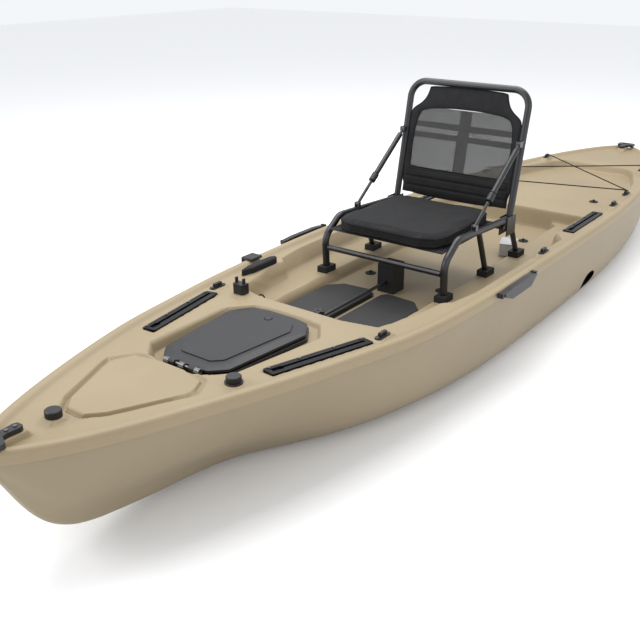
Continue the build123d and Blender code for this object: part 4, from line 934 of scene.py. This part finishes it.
RAYS, RINGS = 240, 10
bm = bmesh.new()
smooth_outer, smooth_inner = rounded(cover_outline, 2), rounded(window_outline, 2)
front, rear = [], []
for i in range(RAYS):
    angle = 2 * math.pi * i / RAYS
    inner, outer = reach(smooth_inner, angle), reach(smooth_outer, angle)
    for rings, side in ((front, -1), (rear, 1)):
        ray = []
        for k in range(RINGS + 1):
            share = k / RINGS
            far = inner + (outer - inner) * share
            puff = 0.0012 + 0.0042 * math.sin(math.pi * share) ** 0.6
            ray.append(bm.verts.new(in_hoop(side * puff, far * math.cos(angle),
                                            WINDOW_MIDDLE + far * math.sin(angle))))
        rings.append(ray)
for i in range(RAYS):
    j = (i + 1) % RAYS
    for k in range(RINGS):
        bm.faces.new((front[i][k], front[j][k], front[j][k + 1], front[i][k + 1]))
        bm.faces.new((rear[i][k], rear[i][k + 1], rear[j][k + 1], rear[j][k]))
    bm.faces.new((front[i][0], rear[i][0], rear[j][0], front[j][0]))
    bm.faces.new((front[i][RINGS], front[j][RINGS], rear[j][RINGS], rear[i][RINGS]))
bmesh.ops.recalc_face_normals(bm, faces=bm.faces)
mesh = bpy.data.meshes.new("back_cover")
bm.to_mesh(mesh)
bm.free()
cover = settle(mesh, "back_cover", panel_cloth, home("back_top_panel"))
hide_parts("back_top_panel")
for name, outline in (("back_piping_outer", smooth_outer), ("back_piping_window", smooth_inner)):
    line = [in_hoop(-0.0014, across, up) for up, across in spread(outline, 0.008)]
    settle(tube(line, 0.0022, closed=True), name, piping_cloth, home("back_top_panel"))
print("cover faces", len(mesh.polygons))

# %% The mesh window, the lumbar band and the webbing
WINDOW = (0.207, 0.130, 0.362)


def window_place(u, v):
    up = WINDOW[1] + (WINDOW[2] - WINDOW[1]) * (v + 1) / 2
    return in_hoop(0.005 * (1 - u * u) * (1 - v * v), WINDOW[0] * u, up)


window = settle(curved_sheet("back_window", 0.0008, window_place, (40, 24)), "back_window", mesh_cloth,
                home("back_mesh"))
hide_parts("back_mesh")


def lumbar_place(aft, u, v):
    """A stuffed band: full in the middle, thin at its seams, with two sewn channels."""
    swell = max(1 - abs(u) ** 6, 0.0) ** 0.5 * max(1 - abs(v) ** 4, 0.0) ** 0.5
    channel = 0.55 * math.exp(-((abs(v) - 0.36) / 0.07) ** 2)
    depth = 0.0015 + 0.0125 * swell * (1 - channel)
    return in_hoop(-depth if aft < 0 else 0.003, 0.222 * u, 0.080 + 0.046 * v)


bm = bmesh.new()
cells = (64, 28)
sheets = []
for aft in (-1, 1):
    sheets.append([[bm.verts.new(lumbar_place(aft, 2 * i / cells[0] - 1, 2 * j / cells[1] - 1))
                    for j in range(cells[1] + 1)] for i in range(cells[0] + 1)])
for grid in sheets:
    for i in range(cells[0]):
        for j in range(cells[1]):
            bm.faces.new((grid[i][j], grid[i + 1][j], grid[i + 1][j + 1], grid[i][j + 1]))
rim = ([(i, 0) for i in range(cells[0])] + [(cells[0], j) for j in range(cells[1])]
       + [(i, cells[1]) for i in range(cells[0], 0, -1)] + [(0, j) for j in range(cells[1], 0, -1)])
for (i, j), (k, m) in zip(rim, rim[1:] + rim[:1]):
    bm.faces.new((sheets[0][i][j], sheets[0][k][m], sheets[1][k][m], sheets[1][i][j]))
bmesh.ops.recalc_face_normals(bm, faces=bm.faces)
mesh = bpy.data.meshes.new("lumbar_band")
bm.to_mesh(mesh)
bm.free()
lumbar = settle(mesh, "lumbar_band", seat_cloth, home("back_lumbar"))
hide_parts("back_lumbar")
for name, v in (("lumbar_piping_low", -0.97), ("lumbar_piping_high", 0.97)):
    line = [lumbar_place(-1, u, v) for u in np.linspace(-0.96, 0.96, 60)]
    settle(tube(line, 0.0022), name, piping_cloth, home("back_lumbar"))


def strap(name, low, high, across):
    """Flat webbing behind the mesh: low and high give its height, across its half width, in the hoop."""
    def place(u, v):
        return in_hoop(across[1], across[0] * u, low + (high - low) * (v + 1) / 2)
    return settle(curved_sheet(name, 0.0016, place, (24, 8)), name, webbing, home("back_straps"))


straps = [strap("strap_low", 0.246, 0.268, (0.2352, 0.0100)), strap("strap_high", 0.286, 0.308, (0.2352, 0.0100)),
          strap("strap_upright", 0.108, 0.359, (0.024, 0.0124))]
for piece in straps:
    piece.data.set_sharp_from_angle(angle=math.radians(38.0))
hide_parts("back_straps")
print("backrest covered")

# %% [markdown]
# ## Elastic cords
# The three cords over the rear well run straight from eye to eye, and each loop on the ledges is a short
# arch with both ends in the moulding. Each is a curve with its real thickness, and so keeps its length.
# The straight ones run on past the ends of the CAD bars, as far as the middle of each eye.

# %% Bungees and loops
CORD_THICK = 0.005
EYE_REACH = 0.009


def cord_curve(name, points, body):
    curve = bpy.data.curves.new(name, "CURVE")
    curve.dimensions = "3D"
    curve.bevel_depth = CORD_THICK / 2
    curve.bevel_resolution = 3
    spline = curve.splines.new("POLY")
    spline.points.add(len(points) - 1)
    for point, place in zip(spline.points, points):
        point.co = (*place, 1)
    obj = bpy.data.objects.new(name, curve)
    scene.collection.objects.link(obj)
    paint(obj, cord_cover)
    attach(obj, body)
    return obj


def run_length(points):
    return float(np.linalg.norm(np.diff(np.array(points), axis=0), axis=1).sum())


for number, part in enumerate(loose_parts("rear_bungees"), 1):
    middle = part.mean(0)
    heading = np.linalg.svd(part - middle, full_matrices=False)[2][0]
    reaches = (part - middle) @ heading
    ends = reaches.min() - EYE_REACH, reaches.max() + EYE_REACH
    points = [middle + heading * r for r in np.linspace(*ends, 24)]
    bungee = cord_curve(f"bungee_{number}", points, home("rear_bungees"))
    if number == 1:
        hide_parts("rear_bungees")
    print("bungee", number, "length", round(run_length(points), 3))
for side, part in (("port", min(loose_parts("cord_loops"), key=lambda p: p[:, 1].mean())),
                   ("starboard", max(loose_parts("cord_loops"), key=lambda p: p[:, 1].mean()))):
    low, high = part.min(0), part.max(0)
    left, right = low[0] + CORD_THICK / 2, high[0] - CORD_THICK / 2
    top, bend, y = high[2] - CORD_THICK / 2, 0.028, (low[1] + high[1]) / 2
    arc = [math.radians(a) for a in range(180, 89, -9)]
    rise = [(left + bend + bend * math.cos(a), y, top - bend + bend * math.sin(a)) for a in arc]
    fall = [(left + right - x, y, z) for x, y, z in rise[::-1]]
    points = [(left, y, low[2])] + rise + fall + [(right, y, low[2])]
    loop = cord_curve(f"cord_loop_{side}", points, home("cord_loops"))
    if side == "port":
        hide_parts("cord_loops")
    print("loop", side, "length", round(run_length(points), 3))

# %% [markdown]
# ## Floor, light and camera
# A pale studio sweep with large soft lights keeps the black fittings readable, and the camera looks
# down on the bow from the port side.

# %% Studio
FLOOR_HALF = 14.0
bm = bmesh.new()
bmesh.ops.create_grid(bm, x_segments=1, y_segments=1, size=FLOOR_HALF)
mesh = bpy.data.meshes.new("studio_floor")
bm.to_mesh(mesh)
bm.free()
floor = bpy.data.objects.new("studio_floor", mesh)
scene.collection.objects.link(floor)
floor.location.z = -0.0015
floor_finish = Finish("floor_paint", (0.93, 0.93, 0.93), 0.75, specular=0.2)
paint(floor, floor_finish.material)

world = bpy.data.worlds.new("studio")
world.use_nodes = True
world.node_tree.nodes["Background"].inputs["Color"].default_value = (0.95, 0.97, 1.0, 1)
world.node_tree.nodes["Background"].inputs["Strength"].default_value = 0.95
scene.world = world
scene.view_settings.view_transform = "Standard"


def soft_light(name, place, target, size, power):
    data = bpy.data.lights.new(name, "AREA")
    data.shape = "RECTANGLE"
    data.size, data.size_y = size
    data.energy = power
    lamp = bpy.data.objects.new(name, data)
    scene.collection.objects.link(lamp)
    lamp.location = place
    aim = Vector(target) - Vector(place)
    lamp.rotation_euler = aim.to_track_quat("-Z", "Y").to_euler()


soft_light("overhead", (0.2, 0.8, 3.6), (0, 0, 0), (4.5, 3.0), 150)
soft_light("bow_side", (-4.0, 2.4, 2.6), (-0.6, 0, 0.2), (2.5, 2.0), 70)
soft_light("port_fill", (-1.0, -4.5, 1.8), (0, 0, 0.2), (4.0, 2.0), 35)

# %% Camera
CAMERA_PLACE = Vector((-2.806, -1.458, 1.307))
AZIMUTH, ELEVATION, ROLL = math.radians(-52.96), math.radians(23.90), math.radians(-0.20)
back = Vector((math.sin(AZIMUTH) * math.cos(ELEVATION), -math.cos(AZIMUTH) * math.cos(ELEVATION),
               math.sin(ELEVATION)))
camera_data = bpy.data.cameras.new("camera")
camera_data.sensor_width = 36.0
camera_data.lens = 46.8
camera = bpy.data.objects.new("camera", camera_data)
scene.collection.objects.link(camera)
turn = back.to_track_quat("Z", "Y").to_matrix().to_4x4()
camera.matrix_world = Matrix.Translation(CAMERA_PLACE) @ turn @ Matrix.Rotation(ROLL, 4, "Z")
scene.camera = camera
print("camera at", tuple(round(v, 3) for v in CAMERA_PLACE))
